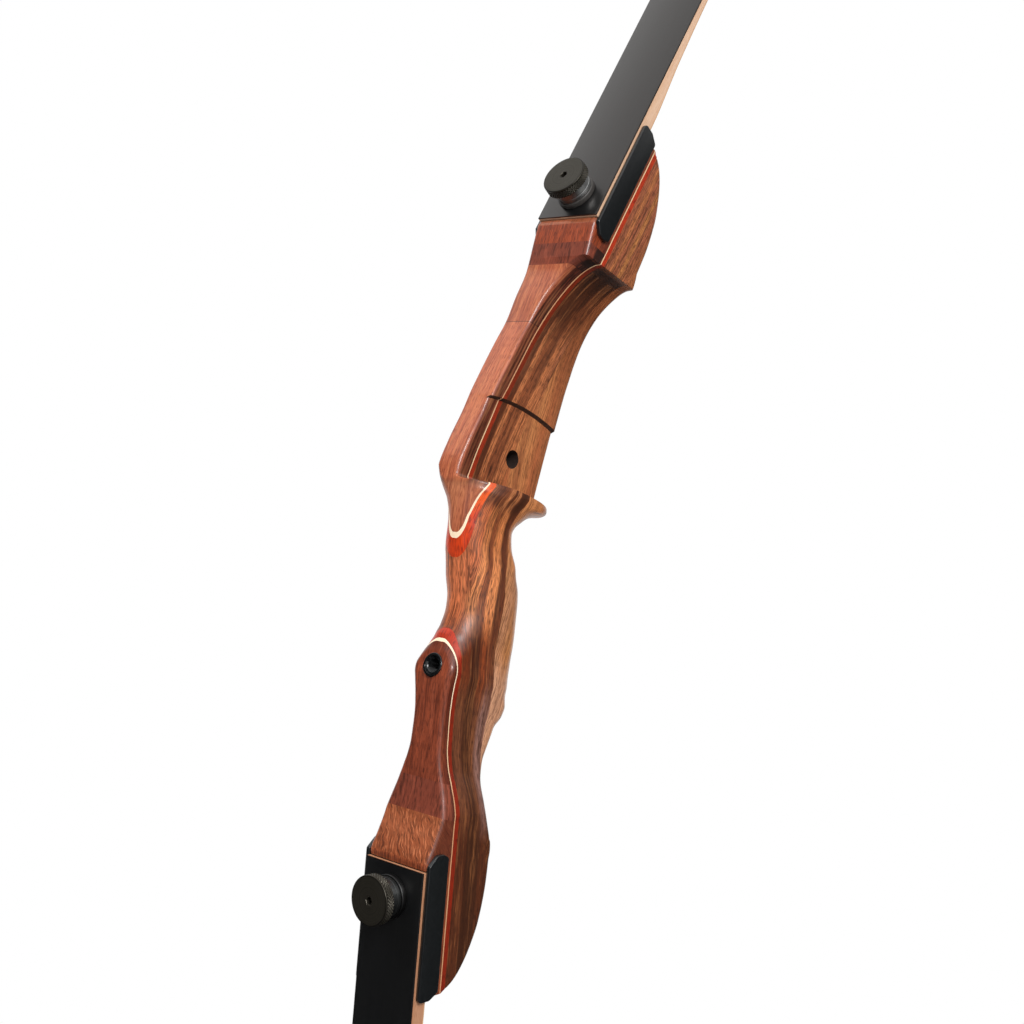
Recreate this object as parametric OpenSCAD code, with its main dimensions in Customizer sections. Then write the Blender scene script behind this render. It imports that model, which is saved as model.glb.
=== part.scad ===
// Takedown recurve bow, unstrung: a glued wooden riser with two bolted limbs.
// Z runs up the bow, -Y points at the target, +X is the side of the sight window.
// The origin is the deepest point of the grip's throat, where the hand presses.

/* [Riser] */
// Height of each limb butt above or below the throat
seat_h = 192.8; // [180:0.1:205]
// Distance of the limb butts in front of the throat
throat_d = 19; // [15:0.5:23]
// Lean of the limb pockets towards the archer, in degrees
limb_angle = 15; // [10:0.5:18]
// Width of the riser at the pockets
riser_w = 44.6; // [42:0.1:50]
// Length of each limb pocket
pocket_len = 70; // [64:0.5:76]
// Wood between the pocket floor and the maple strip
pocket_wood = 10.5; // [8:0.1:13]
// Width of the grip
grip_w = 27; // [24:0.5:31]
// Width of the boss round the stabiliser bushing
boss_w = 31; // [28:0.5:35]
// Thickness of the maple strip
maple_t = 1.2; // [0.8:0.1:2]
// Thickness of the padauk strip
padauk_t = 3.2; // [2:0.1:5]
// Thickness of the core wood behind the padauk, up to the belly block
core_block_t = 25.1; // [20:0.1:28]

/* [Sight window] */
// Height of the arrow shelf
shelf_h = 20.3; // [17:0.1:25]
// How far the arrow shelf rises in its middle
shelf_crown = 2.2; // [0.5:0.1:4]
// How far the window is cut past the centre line
window_cut = 3; // [1:0.1:6]
// Extra depth of the rest recess in the window
rest_step = 2.3; // [1:0.1:4]
// Height of the rest recess above the shelf
rest_step_h = 51; // [44:0.5:60]
// Diameter of the hole for a rest or plunger
rest_hole_d = 11; // [8:0.1:13]
// Height of that hole above the shelf
rest_hole_h = 24.7; // [18:0.1:32]
// Distance of that hole behind the limb butts
rest_hole_y = 15; // [5:0.5:25]

/* [Side plates] */
// Thickness of the side plates
plate_t = 2.4; // [1.5:0.1:4]
// Distance of a plate's front edge behind the back of the limb
plate_front = 2.3; // [1.5:0.1:4]
// Width of a plate, front to rear
plate_w = 14.9; // [12:0.1:17]
// How far an upper plate runs past the pocket's outer end
plate_over = 4; // [1:0.5:7]
// How far a lower plate runs past the pocket's outer end
lower_plate_over = 1; // [0:0.5:7]
// How far a plate runs below the limb butt
plate_under = 8.4; // [6.5:0.1:11]

/* [Limb] */
// Width of a limb
limb_w = 44; // [40:0.1:44.2]
// Length of a limb along its back
limb_len = 569; // [520:1:620]
// Thickness of a limb in its pocket
butt_t = 10.5; // [9:0.1:12]
// Thickness of the fibreglass on each face
glass_t = 1; // [0.7:0.1:1.4]
// Thickness of each core strip at the butt
core_t = 1.4; // [1:0.1:2]
// Thickness of each core strip at the tip
core_tip_t = 0.9; // [0.7:0.1:1.2]
// Length of the wedge inside the butt
wedge_len = 240; // [200:1:280]
// Where the recurve begins
curl_start = 372; // [350:1:400]
// Turn of the recurve, in degrees
curl = 58; // [45:1:68]
// Gentle forward bend of the working limb, in degrees
reflex = 7; // [2:1:12]
// Width of a limb at the nocks
tip_w = 15; // [12:0.5:18]
// Length of the overlay on the tip
tip_len = 46; // [36:1:60]
// Thickness of that overlay
tip_t = 3; // [2:0.1:5]
// Distance of the string nocks from the tip
nock_in = 19; // [15:0.5:24]

/* [Limb bolts] */
// Distance of the bolt from the limb butt
bolt_s = 18; // [16:0.5:22]
// Diameter of the knurled knob
knob_d = 27.4; // [24:0.1:32]
// Thickness of the knurled knob
knob_t = 5.4; // [4:0.1:8]
// Diameter of the steel collar under the knob
collar_d = 23; // [20:0.5:25]
// Height of that collar
collar_t = 6.9; // [5:0.1:9]
// Diameter of the rubber washer on the limb
rubber_d = 26; // [22:0.5:28]
// Thickness of that washer
rubber_t = 3.5; // [2:0.1:5]
// Major diameter of the limb bolt and stabiliser threads
thread_d = 7.94; // [6:0.01:8.2]
// Outer diameter of the limb bolt bushings
bushing_d = 12; // [11:0.5:14]
// Length of the limb bolt bushings
bushing_len = 24; // [20:0.5:26]
// Diameter of the locating pins
pin_d = 5; // [4:0.1:6]
// Distance of a locating pin from the limb butt
pin_s = 50; // [44:0.5:55]

/* [Stabiliser bushing] */
// Depth of the bushing's centre below the throat
boss_h = 84; // [80:0.5:88]
// Diameter of the bushing's rim
rim_d = 13.7; // [12:0.1:15]
// Diameter of the bushing's body
body_d = 11; // [10:0.1:11.8]
// Length of the bushing
body_len = 22; // [16:0.5:26]

/* [Hidden] */

walnut = "#7a4226";
walnut_red = "#8c4a2e";
walnut_dark = "#5e2c22";
walnut_gold = "#9a6a3c";
flame = "#a5663c";
padauk = "#b5391c";
maple = "#ecd3a0";
laminate = "#1d1f20";
core_wood = "#d9a97f";
clear_glass = "#caa27c";
steel_dark = "#2c2b26";
steel = "#55595a";

$fn = 48;
glue_gap = 0.05;                                  // radial room round a glued bushing or pin
feather = 0.3;                                    // thickness at which a glued strip ends
seat_play = 0.02;                                 // room between a limb and the floor of its pocket
foot_r = 3;                                       // fillet between the arrow shelf and the window's wall
wall_lean = 0.4;                                  // lean of the pocket's end wall
butt_gap = 0.8;                                   // from the pocket's end wall to the limb butt
shelf_lip = 0.6;                                  // height lost between shelf edge and window wall
bolt_play = 0.35;                                 // radial room of the bolt in limb and washers
thread_play = 0.07;                               // radial room of the bolt in its bushing
pin_play = 0.1;                                   // radial room of the pin in the limb
shank_r = thread_d / 2 - thread_play;             // radius of a limb bolt's shank
bore_r = shank_r + bolt_play;                     // radius of the holes that it passes through
side = riser_w / 2;
crease_h = seat_h - 24.3;                         // where the pocket's flat side begins
lower_flare = crease_h - 6.5;                     // the same on the lower side
ramp_h = crease_h - 58.5;                         // where the window's wall starts to ramp out
step_h = shelf_h + rest_step_h;
wall_x = -window_cut;
recess_x = -window_cut - rest_step;
pocket_d = butt_t + seat_play;                          // depth of the pocket floor
glue_d = pocket_d + pocket_wood;                  // depth of the maple strip in the pocket
core_d = maple_t + padauk_t;                      // depth of the core behind the glue line
block_d = core_d + core_block_t;                  // depth of the belly block behind the glue line
boss_y = -11.2;                                   // face of the stabiliser boss

// Outlines are pairs of height and distance behind the plane of the two limb butts,
// in which the window's and the lower riser's heights are shares of their span.
function up(t) = shelf_h + (crease_h - shelf_h) * t;
function down(t) = -(boss_h + (crease_h - boss_h) * t);

back_line = [
    [-seat_h, 2.4], [-(seat_h - 3.5), 1.2], [-(seat_h - 13), 3], [down(0.96), 4.6], [down(0.84), 3.8], [down(0.65), 0.7],
    [down(0.32), -5.1], [-boss_h - 8, boss_y + 0.8], [-boss_h - 4, boss_y], [-boss_h + 7, boss_y],
    [-boss_h + 12, boss_y + 0.7], [-boss_h + 18, -9.4], [-60, -7.4], [-52, -6.4], [-44, -7.7], [-34, -11.8],
    [-26, -15], [-15, -19.8], [-8, -22], [0, -23.8], [10, -25.6], [shelf_h - 0.3, -27],
    [shelf_h + 6.7, -27.4], [up(0.15), -25], [up(0.28), -20.3], [up(0.37), -17.8], [up(0.46), -14.6],
    [up(0.6), -9], [up(0.71), -4.2], [up(0.81), -2], [up(0.95), 1.5], [seat_h - 13, 0.9], [seat_h - 3.5, 0.7],
    [seat_h, 2]
];
// The glue line is the same above and below the grip, and differs only within it.
glue_arm = [
    [up(0.12), -16.4], [up(0.24), -13.1], [up(0.35), -9.8], [up(0.43), -6.8], [up(0.55), -1.8],
    [up(0.73), 5.6], [up(0.85), 10.2], [crease_h, glue_d - 5.7], [seat_h - 13, glue_d - 3.1], [seat_h, glue_d]
];
upper_glue = concat([[0, -22], [13, -21.3], [shelf_h + 1.7, -18.5]], glue_arm);
lower_glue = concat([[0, -22], [14, -21.1], [23, -20.2]], glue_arm);
// Belly of the pocket's wood, as distance along the pocket and depth below the limb's back.
pocket_belly = [
    [0, 54.5], [0.19 * pocket_len, 53.8], [0.49 * pocket_len, 50.2], [0.71 * pocket_len, 44],
    [0.84 * pocket_len, 38.4], [0.93 * pocket_len, 32.5], [pocket_len, glue_d + 3]
];
belly_line = [
    [-seat_h, 54.5], [-(seat_h - 13), 52.2], [-crease_h, 49.5], [down(0.91), 46], [down(0.78), 41.5],
    [down(0.66), 39], [down(0.52), 39.5], [down(0.4), 40.3], [down(0.3), 41.2], [down(0.2), 44.3],
    [-boss_h - 11, 44.3], [-boss_h - 2, 44], [-65, throat_d + 24.4], [-45, throat_d + 19.3],
    [-33, throat_d + 14.9], [-18, throat_d + 3.5], [-7, throat_d + 1], [0, throat_d],
    [4, throat_d + 1], [8, throat_d + 3.6], [12, throat_d + 8], [15, throat_d + 14],
    [shelf_h - 3, 40], [shelf_h - 1.5, 42], [shelf_h, 42.6]
];
window_belly = [
    [shelf_h + shelf_lip, 44.6], [up(0.22), 44.4], [up(0.38), 44.6], [up(0.5), 45], [up(0.63), 46.4],
    [up(0.75), 47.4], [up(0.87), 49.4], [up(0.96), 52], [crease_h, 52.6], [seat_h - 13, 53.4],
    [seat_h, 54.5]
];
// Half widths of the riser on the window's side and on the far side.
waist = grip_w / 2 - 2.1;
boss = boss_w / 2 - 0.9;
lower_half = [
    [-lower_flare, side], [down(0.84), side - 1.7], [down(0.73), side - 5], [down(0.6), waist + 1.7],
    [down(0.49), waist + 0.2], [down(0.33), waist], [down(0.19), waist + 0.7], [-boss_h - 8, boss - 1.3],
    [-boss_h - 1, boss], [-boss_h + 6, boss - 0.6], [-65, grip_w / 2 + 0.3], [-45, grip_w / 2 + 0.3]
];
left_half = concat(lower_half, [
    [-20, grip_w / 2 + 0.1], [-5, grip_w / 2], [3, grip_w / 2 + 0.5], [9, grip_w / 2 + 1.9],
    [13, grip_w / 2 + 3.7], [shelf_h - 3.8, side - 3.3], [shelf_h, side - 2.7]
]);
right_half = concat(lower_half, [
    [-30, grip_w / 2 + 1.5], [-20, grip_w / 2 + 1.5], [-5, grip_w / 2 + 0.5], [3, grip_w / 2 + 1.5],
    [9, grip_w / 2 + 3.5], [15, side - 2.7], [shelf_h + 0.7, side - 0.7], [shelf_h + 6.7, side]
]);
// Radii of the four long edges: back and belly, on the window's side and on the far side.
boss_round = [[-crease_h, 2.5], [-boss_h - 11, 3], [-boss_h, 3.5], [-boss_h + 4, 5.5],
    [-boss_h + 8, 8.5], [-boss_h + 12, 11], [-66, 13.5]];
back_left_r = concat(boss_round, [[-20, 13.5], [-10, 16], [8, 18], [14, 23], [shelf_h, 28]]);
back_right_r = concat(boss_round, [[-10, 13.5], [8, 13], [shelf_h - 2.3, 8], [shelf_h + 6.7, 2.5]]);
heel_round = [[-crease_h, 2.5], [down(0.66), 3.5], [down(0.33), 5], [-boss_h - 11, 9],
    [-boss_h + 4, 12], [-67, 17], [-45, 18], [-10, 17], [-2, 14]];
belly_left_r = concat(heel_round, [[8, 14], [14, 18], [shelf_h, 21]]);
belly_right_r = concat(heel_round, [[8, 13], [shelf_h, 9], [shelf_h + 9.7, 4], [crease_h, 2.5]]);
// How much the grip widens towards the palm, and how deep its rounding is for its width.
palm_swell = [[down(0.49), 0], [down(0.3), 1.8], [-boss_h - 13, 3.5], [-boss_h - 5, 3], [-boss_h + 4, 2.8],
    [-67, 2.5], [-56, 3.4], [-37, 4.4], [-18, 3.2], [-7, 1.2], [0, 0.3], [3, 0]];
palm_depth = [[-33, 1.2], [-25, 1], [-18, 0.72], [-7, 1], [0, 1.2]];
edge_r = 2.5;                                     // radius of the long edges elsewhere

// A smooth curve through a list of points, which never overshoots them.
function slope(k, i) = (k[i + 1][1] - k[i][1]) / (k[i + 1][0] - k[i][0]);
function tangent(k, i) =
    i == 0 ? slope(k, 0) :
    i == len(k) - 1 ? slope(k, i - 1) :
    slope(k, i - 1) * slope(k, i) <= 0 ? 0 :
    2 * slope(k, i - 1) * slope(k, i) / (slope(k, i - 1) + slope(k, i));
function smooth(k, h) =
    h <= k[0][0] ? k[0][1] :
    h >= k[len(k) - 1][0] ? k[len(k) - 1][1] :
    let (i = max([for (j = [0:len(k) - 2]) if (k[j][0] <= h) j]))
    let (w = k[i + 1][0] - k[i][0], t = (h - k[i][0]) / w)
    (1 + 2 * t) * pow(1 - t, 2) * k[i][1] + t * pow(1 - t, 2) * w * tangent(k, i)
    + t * t * (3 - 2 * t) * k[i + 1][1] + t * t * (t - 1) * w * tangent(k, i + 1);

// Sections lie level between the pockets and turn square to the pocket floor beyond.
function lean(h) = limb_angle * min(1, max(0, (abs(h) - crease_h) / (seat_h - crease_h)));
function in_pocket(h) = abs(h) >= seat_h + wall_lean / 2;
function back_at(h) = in_pocket(h) ? pocket_d : smooth(back_line, h);
function glue_at(h) = smooth(h < 0 ? lower_glue : upper_glue, abs(h));
function belly_at(h) =
    abs(h) >= seat_h ? smooth(pocket_belly, abs(h) - seat_h) :
    h > shelf_h + shelf_lip / 2 ? smooth(window_belly, h) : smooth(belly_line, h);
function ramp(h) = wall_x + (side - wall_x) * (1 - sqrt(max(0, 1 - pow((h - ramp_h) / 58.5, 2))));
function left_at(h) =
    h > crease_h || h < -lower_flare ? side :
    h > ramp_h ? ramp(h) :
    h > step_h + 0.5 ? wall_x :
    above_shelf(h) ? recess_x + foot(h - shelf_h - shelf_lip) : smooth(left_half, h);
function foot(up_wall) = up_wall > foot_r ? 0 : foot_r - sqrt(foot_r * foot_r - pow(foot_r - up_wall, 2));
function right_at(h) = h > shelf_h + 6.7 || h < -lower_flare ? side : smooth(right_half, h);
function above_shelf(h) = h > shelf_h + shelf_lip / 2;
function level(h) = [
    h, back_at(h), belly_at(h), left_at(h), right_at(h),
    in_pocket(h) ? 0 : above_shelf(h) ? edge_r : smooth(back_left_r, h),
    in_pocket(h) ? 0 : h > shelf_h + 6.7 ? edge_r : smooth(back_right_r, h),
    above_shelf(h) ? edge_r : smooth(belly_left_r, h),
    smooth(belly_right_r, h), smooth(palm_swell, h), smooth(palm_depth, h), glue_at(h)
];

// Half width of a section at depth d, with rounded back and belly corners.
function corner(u) = 1 - sqrt(max(0, 1 - pow(1 - max(0, u), 2)));
function half_at(l, d, half, back_r, belly_r, stretch) =
    let (room = (l[3] + l[4]) / 2 - 1.5, depth = l[2] - l[1])
    let (br = min(back_r, room), bd = min(back_r * stretch, depth * 0.45))
    let (fr = min(belly_r, room + l[9] + 0.8), fd = min(fr * l[10], depth * 0.5))
    let (t = min(1, max(0, (d - l[11] - core_d - 6) / (core_block_t - 3))))
    half + l[9] * t * t * (3 - 2 * t) - (back_r > 0 && d < l[1] + bd ? br * corner((d - l[1]) / bd) : 0)
    - (d > l[2] - fd ? fr * corner((l[2] - d) / fd) : 0);
// The crease above the lower pocket runs in an arc over the side of the riser.
function flank(l, d, half) =
    let (fade = min(1, max(0, (down(0.64) - l[0]) / 20)))
    fade > 0 && l[0] > -seat_h ? smooth(lower_half, l[0] + fade * (12 * pow((d - 24) / 24, 2) - 4.2)) : half;
function left_x(l, d) = half_at(l, d, flank(l, d, l[3]), l[5], l[7], l[0] < 0 ? 1.05 : 1.25);
function right_x(l, d) = -half_at(l, d, flank(l, d, l[4]), l[6], l[8], 1.05);

// The arrow shelf is crowned and the top of the rest recess is arched.
function lift(h, d) =
    h > shelf_h - 0.1 && h < shelf_h + 14 ?
        shelf_crown * (1 - pow((d - 10) / 34, 2)) * min(1, (shelf_h + 14 - h) / (14 - shelf_lip)) :
    abs(h - step_h - 0.5) < 1 ? 3.6 * (1 - pow((d - 14) / 33, 2)) : 0;
function place(h, x, d) =
    let (s = max(0, abs(h) - seat_h), a = lean(h))
    let (z = min(abs(h), seat_h) + s * cos(a) - d * sin(a) + lift(h, d))
    [x, s * sin(a) + d * cos(a), h < 0 ? -z : z];

// One section of a strip that lies between two depths, as a ring of 2n points.
function spread(lo, hi, n) = [for (i = [0:n - 1]) lo + (hi - lo) * (1 - cos(180 * i / (n - 1))) / 2];
function ring(h, lo, hi, n) =
    let (l = level(h), ds = spread(lo, hi, n))
    concat([for (i = [0:n - 1]) place(h, left_x(l, ds[i]), ds[i])],
           [for (i = [0:n - 1]) place(h, right_x(l, ds[n - 1 - i]), ds[n - 1 - i])]);

module loft(rings) {
    n = len(rings[0]);
    m = len(rings);
    sides = [for (i = [0:m - 2], j = [0:n - 1]) let (k = (j + 1) % n) each [
        [i * n + j, (i + 1) * n + j, (i + 1) * n + k],
        [i * n + j, (i + 1) * n + k, i * n + k]
    ]];
    bottom = [[for (j = [0:n - 1]) j]];
    top = [[for (j = [0:n - 1]) m * n - 1 - j]];
    polyhedron([for (r = rings) each r], concat(bottom, sides, top));
}

// Heights of the riser's sections, closer together where its shape turns quickly.
function steps(a, b, n) = [for (i = [0:n - 1]) a + (b - a) * i / n];
function thins(a, b, n = 24) =
    let (m = (a + b) / 2)
    n == 0 ? m : smooth(pocket_belly, m) > glue_d + block_d + feather ? thins(m, b, n - 1) : thins(a, m, n - 1);
block_s = thins(0, pocket_len);                   // where the belly block ends in a pocket
pocket_steps = [for (t = [0.96, 0.88, 0.78, 0.66, 0.52]) t * pocket_len, block_s, 0.32 * pocket_len, 0.16 * pocket_len];
stations = concat(
    [for (s = pocket_steps) -seat_h - s], [-seat_h - wall_lean, -seat_h, -seat_h + 3.5, -seat_h + 8, -seat_h + 16],
    steps(-crease_h, down(0.2), 11), steps(down(0.2), -boss_h + 14, 9), steps(-boss_h + 14, 8, 13),
    steps(8, shelf_h - 2, 5), [shelf_h - 2, shelf_h - 0.9, shelf_h, shelf_h + shelf_lip],
    [for (t = [0.15, 0.4, 0.7, 1]) shelf_h + shelf_lip + foot_r * t],
    steps(shelf_h + 6.7, shelf_h + 14, 2), steps(shelf_h + 14, step_h, 5), [step_h, step_h + 1],
    steps(step_h + 7, ramp_h, 5), steps(ramp_h, crease_h - 13, 7), steps(crease_h - 13, crease_h - 1, 5),
    [crease_h - 1, crease_h, seat_h - 16, seat_h - 8, seat_h - 3.5, seat_h, seat_h + wall_lean],
    [for (i = [7:-1:0]) seat_h + pocket_steps[i]]
);
function between(a, b) = concat([a], [for (h = stations) if (h > a + 0.35 && h < b - 0.35) h], [b]);

// The height at which the wood's back crosses a depth behind the glue line.
function cover(h, off) = smooth(back_line, h) - glue_at(h) - off;
function crossing(off, a, b, n = 24) =
    let (m = (a + b) / 2)
    n == 0 ? m : cover(a, off) * cover(m, off) <= 0 ? crossing(off, a, m, n - 1) : crossing(off, m, b, n - 1);
function upper_end(off) = crossing(off - feather, -boss_h + 30, 12);
function lower_end(off) = crossing(off - feather, -boss_h + 6, -boss_h + 30);

// A strip of the riser between two depths behind the glue line.
module strip(hs, from, to, n) {
    loft([for (h = hs)
        let (b = back_at(h), c = glue_at(h), hi = min(c + to, belly_at(h)))
        ring(h, min(max(b, c + from), hi - feather), hi, n)]);
}
module riser_frame() {
    translate([0, -throat_d, 0]) children();
}
// The frame of a pocket: X across, Y into the wood, Z along the limb from its butt.
module pocket(sign) {
    riser_frame() mirror([0, 0, sign < 0 ? 1 : 0]) translate([0, 0, seat_h]) rotate([-limb_angle, 0, 0]) children();
}
module rod(r, from, to) {
    translate([0, from, 0]) rotate([-90, 0, 0]) cylinder(h = to - from, r = r);
}
module limb_bores(sign, play) {
    pocket(sign) {
        translate([0, 0, bolt_s]) rod(bushing_d / 2 + play, -1, pocket_d + bushing_len + 1);
        translate([0, 0, pin_s]) rod(pin_d / 2 + play, pocket_d - 1, pocket_d + 14 + play);
    }
}
module stabiliser_bore() {
    riser_frame() translate([0, boss_y, -boss_h]) rod(body_d / 2 + glue_gap, -5, body_len + glue_gap);
}
rim_t = 1.2;                                      // depth to which the bushing's rim is let in
far_end = seat_h + pocket_len;
core_end = seat_h + 0.985 * pocket_len;

module rest_hole() {
    riser_frame() translate([0, rest_hole_y, shelf_h + rest_hole_h]) rotate([0, 90, 0])
        cylinder(h = riser_w * 2, r = rest_hole_d / 2, center = true);
}
module riser_core() {
    color(walnut) difference() {
        riser_frame() loft([for (h = between(-core_end, core_end))
            ring(h, max(back_at(h), glue_at(h) + core_d), min(belly_at(h), glue_at(h) + block_d), 8)]);
        limb_bores(1, glue_gap);
        limb_bores(-1, glue_gap);
        stabiliser_bore();
        rest_hole();
    }
}
module riser_belly_block() {
    color(walnut_gold) difference() {
        riser_frame() loft([for (h = between(-seat_h - block_s, seat_h + block_s))
            ring(h, glue_at(h) + block_d, max(belly_at(h), glue_at(h) + block_d + feather), 7)]);
        rest_hole();
    }
}
module upper_padauk_strip() {
    color(padauk) difference() {
        riser_frame() strip(between(upper_end(core_d), far_end), maple_t, core_d, 4);
        limb_bores(1, glue_gap);
    }
}
module lower_padauk_strip() {
    color(padauk) difference() {
        riser_frame() strip(between(-far_end, lower_end(core_d)), maple_t, core_d, 4);
        limb_bores(-1, glue_gap);
        stabiliser_bore();
    }
}
module upper_maple_strip() {
    color(maple) difference() {
        riser_frame() strip(between(upper_end(maple_t), far_end), 0, maple_t, 3);
        limb_bores(1, glue_gap);
    }
}
module lower_maple_strip() {
    color(maple) difference() {
        riser_frame() strip(between(-far_end, lower_end(maple_t)), 0, maple_t, 3);
        limb_bores(-1, glue_gap);
        stabiliser_bore();
    }
}
// Heights of the glue lines across the back of the riser.
splice_h = up(0.7);
band_h = crease_h - 5.3;
inlay_h = seat_h - 16;
end_h = seat_h - 4;
lower_band_h = down(0.72);

module back_block(hs) {
    riser_frame() loft([for (h = hs) ring(h, back_at(h), glue_at(h), 7)]);
}
module upper_back_block() {
    color(walnut_red) back_block(between(upper_end(0), splice_h));
}
module upper_back_splice() {
    color(walnut_red) back_block(between(splice_h, band_h));
}
module upper_back_band() {
    color(walnut_dark) back_block(between(band_h, inlay_h));
}
module upper_back_inlay() {
    color(walnut_red) back_block(between(inlay_h, end_h));
}
module upper_pocket_block() {
    color(flame) difference() {
        back_block(between(end_h, far_end));
        limb_bores(1, glue_gap);
    }
}
module lower_back_block() {
    color(walnut_red) difference() {
        back_block(between(lower_band_h, lower_end(0)));
        stabiliser_bore();
        riser_frame() translate([0, boss_y, -boss_h]) rod(rim_d / 2 + glue_gap, -5, rim_t + glue_gap);
    }
}
module lower_back_band() {
    color(walnut_dark) back_block(between(-band_h, lower_band_h));
}
module lower_back_inlay() {
    color(flame) back_block(between(-end_h, -band_h));
}
module lower_pocket_block() {
    color(walnut_red) difference() {
        back_block(between(-far_end, -end_h));
        limb_bores(-1, glue_gap);
    }
}

// A corner of an outline, rounded to radius r between its neighbours.
function unit(v) = v / norm(v);
function round_corner(p, a, b, r) =
    let (u = unit(a - p), v = unit(b - p), half = acos(u * v) / 2)
    let (c = p + unit(u + v) * r / sin(half), s = p + u * r / tan(half) - c, e = p + v * r / tan(half) - c)
    let (t0 = atan2(s[1], s[0]), raw = atan2(e[1], e[0]) - t0)
    let (turn = raw > 180 ? raw - 360 : raw < -180 ? raw + 360 : raw)
    [for (i = [0:5]) c + r * [cos(t0 + turn * i / 5), sin(t0 + turn * i / 5)]];
function rounded(ps, rs) = [for (i = [0:len(ps) - 1]) each
    round_corner(ps[i], ps[(i + len(ps) - 1) % len(ps)], ps[(i + 1) % len(ps)], rs[i])];

module side_plate(sign, hand) {
    rear = plate_front + plate_w;
    outer = pocket_len + (sign > 0 ? plate_over : lower_plate_over);
    outline = rounded([
        [plate_front, -plate_under + 5.6], [plate_front + 6, -plate_under], [rear - 4, -plate_under],
        [rear, -plate_under + 2.2], [rear, outer - 3.5], [rear - 6.5, outer], [plate_front, outer]
    ], [2, 3, 3, 2, 2, 3, 2.5]);
    color(laminate) pocket(sign) translate([hand * side - (hand < 0 ? plate_t : 0), 0, 0])
        rotate([90, 0, 90]) linear_extrude(plate_t) polygon(outline);
}
module upper_left_plate() {
    side_plate(1, 1);
}
module upper_right_plate() {
    side_plate(1, -1);
}
module lower_left_plate() {
    side_plate(-1, 1);
}
module lower_right_plate() {
    side_plate(-1, -1);
}

module limb_bushing(sign) {
    color("#8f7a45") pocket(sign) translate([0, 0, bolt_s]) difference() {
        rod(bushing_d / 2, pocket_d + 0.3, pocket_d + bushing_len);
        rod(thread_d / 2, pocket_d - 1, pocket_d + bushing_len + 1);
    }
}
module upper_limb_bushing() {
    limb_bushing(1);
}
module lower_limb_bushing() {
    limb_bushing(-1);
}
pin_out = 6;                                      // how far a locating pin stands out of its pocket
module locating_pin(sign) {
    color(steel) pocket(sign) translate([0, 0, pin_s]) rotate([-90, 0, 0]) rotate_extrude() polygon([
        [0, pocket_d - pin_out], [pin_d / 2 - 0.8, pocket_d - pin_out], [pin_d / 2, pocket_d - pin_out + 0.8],
        [pin_d / 2, pocket_d + 14], [0, pocket_d + 14]
    ]);
}
module upper_locating_pin() {
    locating_pin(1);
}
module lower_locating_pin() {
    locating_pin(-1);
}
module stabiliser_bushing() {
    color("#0e0e10") riser_frame() translate([0, boss_y, -boss_h]) rotate([-90, 0, 0]) difference() {
        rotate_extrude() polygon([
            [0, -0.8], [rim_d / 2 - 1.4, -0.8], [rim_d / 2 - 0.4, -0.4], [rim_d / 2, 0.2],
            [rim_d / 2, rim_t], [body_d / 2, rim_t], [body_d / 2, body_len], [0, body_len]
        ]);
        translate([0, 0, -2]) cylinder(h = body_len, r = thread_d / 2);
    }
}

// The limb's back is straight from its butt, bends forward a little and then curls.
bend_start = 150;
function share(t, a, b) = min(1, max(0, (t - a) / (b - a)));
function turn_at(t) = -reflex * pow(share(t, bend_start, limb_len), 2) - curl * pow(share(t, curl_start, limb_len), 1.5);
limb_step = 1;
back_curve = [for (t = 0, p = [0, 0]; t <= limb_len;
    p = p + limb_step * [sin(turn_at(t + 0.5)), cos(turn_at(t + 0.5))], t = t + limb_step) p];
function on_back(t) =
    let (i = min(len(back_curve) - 2, floor(t / limb_step)))
    back_curve[i] + (t / limb_step - i) * (back_curve[i + 1] - back_curve[i]);
function width_at(t) = smooth([[0, limb_w], [210, limb_w], [330, limb_w - 6], [450, limb_w - 17],
    [limb_len - 40, tip_w + 3], [limb_len - nock_in, tip_w], [limb_len - 5, tip_w - 2], [limb_len, tip_w - 5]], t);
function core_at(t) = core_t + (core_tip_t - core_t) * share(t, wedge_len, limb_len);
wedge_t = butt_t - 2 * glass_t - 2 * core_t;
function wedge_at(t) = smooth([[0, wedge_t], [pocket_len + 8, wedge_t], [0.55 * wedge_len, wedge_t * 0.42],
    [0.76 * wedge_len, wedge_t * 0.16], [wedge_len, 0]], t);
function limb_point(t, d, x) =
    let (p = on_back(t), a = turn_at(t)) [x, p[0] + d * cos(a), p[1] - d * sin(a)];
function limb_ring(t, a, b) = let (w = width_at(t) / 2)
    [limb_point(t, a, w), limb_point(t, b, w), limb_point(t, b, -w), limb_point(t, a, -w)];
tip_stations = [for (i = [0:11]) limb_len - tip_len * (11 - i) / 11];
limb_stations = concat(
    [butt_gap, bolt_s, pin_s, pocket_len + 8], [for (t = [90:15:wedge_len - 3]) t],
    [for (t = [wedge_len:18:curl_start]) t], [for (t = [curl_start + 10:10:limb_len - tip_len - 4]) t],
    tip_stations
);
// Layers are numbered from the back: glass, core, wedge, core, glass.
function layer_top(k, t) =
    k == 0 ? 0 : k == 1 ? glass_t : k == 2 ? glass_t + core_at(t) :
    k == 3 ? glass_t + core_at(t) + wedge_at(t) :
    k == 4 ? glass_t + 2 * core_at(t) + wedge_at(t) : 2 * glass_t + 2 * core_at(t) + wedge_at(t);

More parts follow.
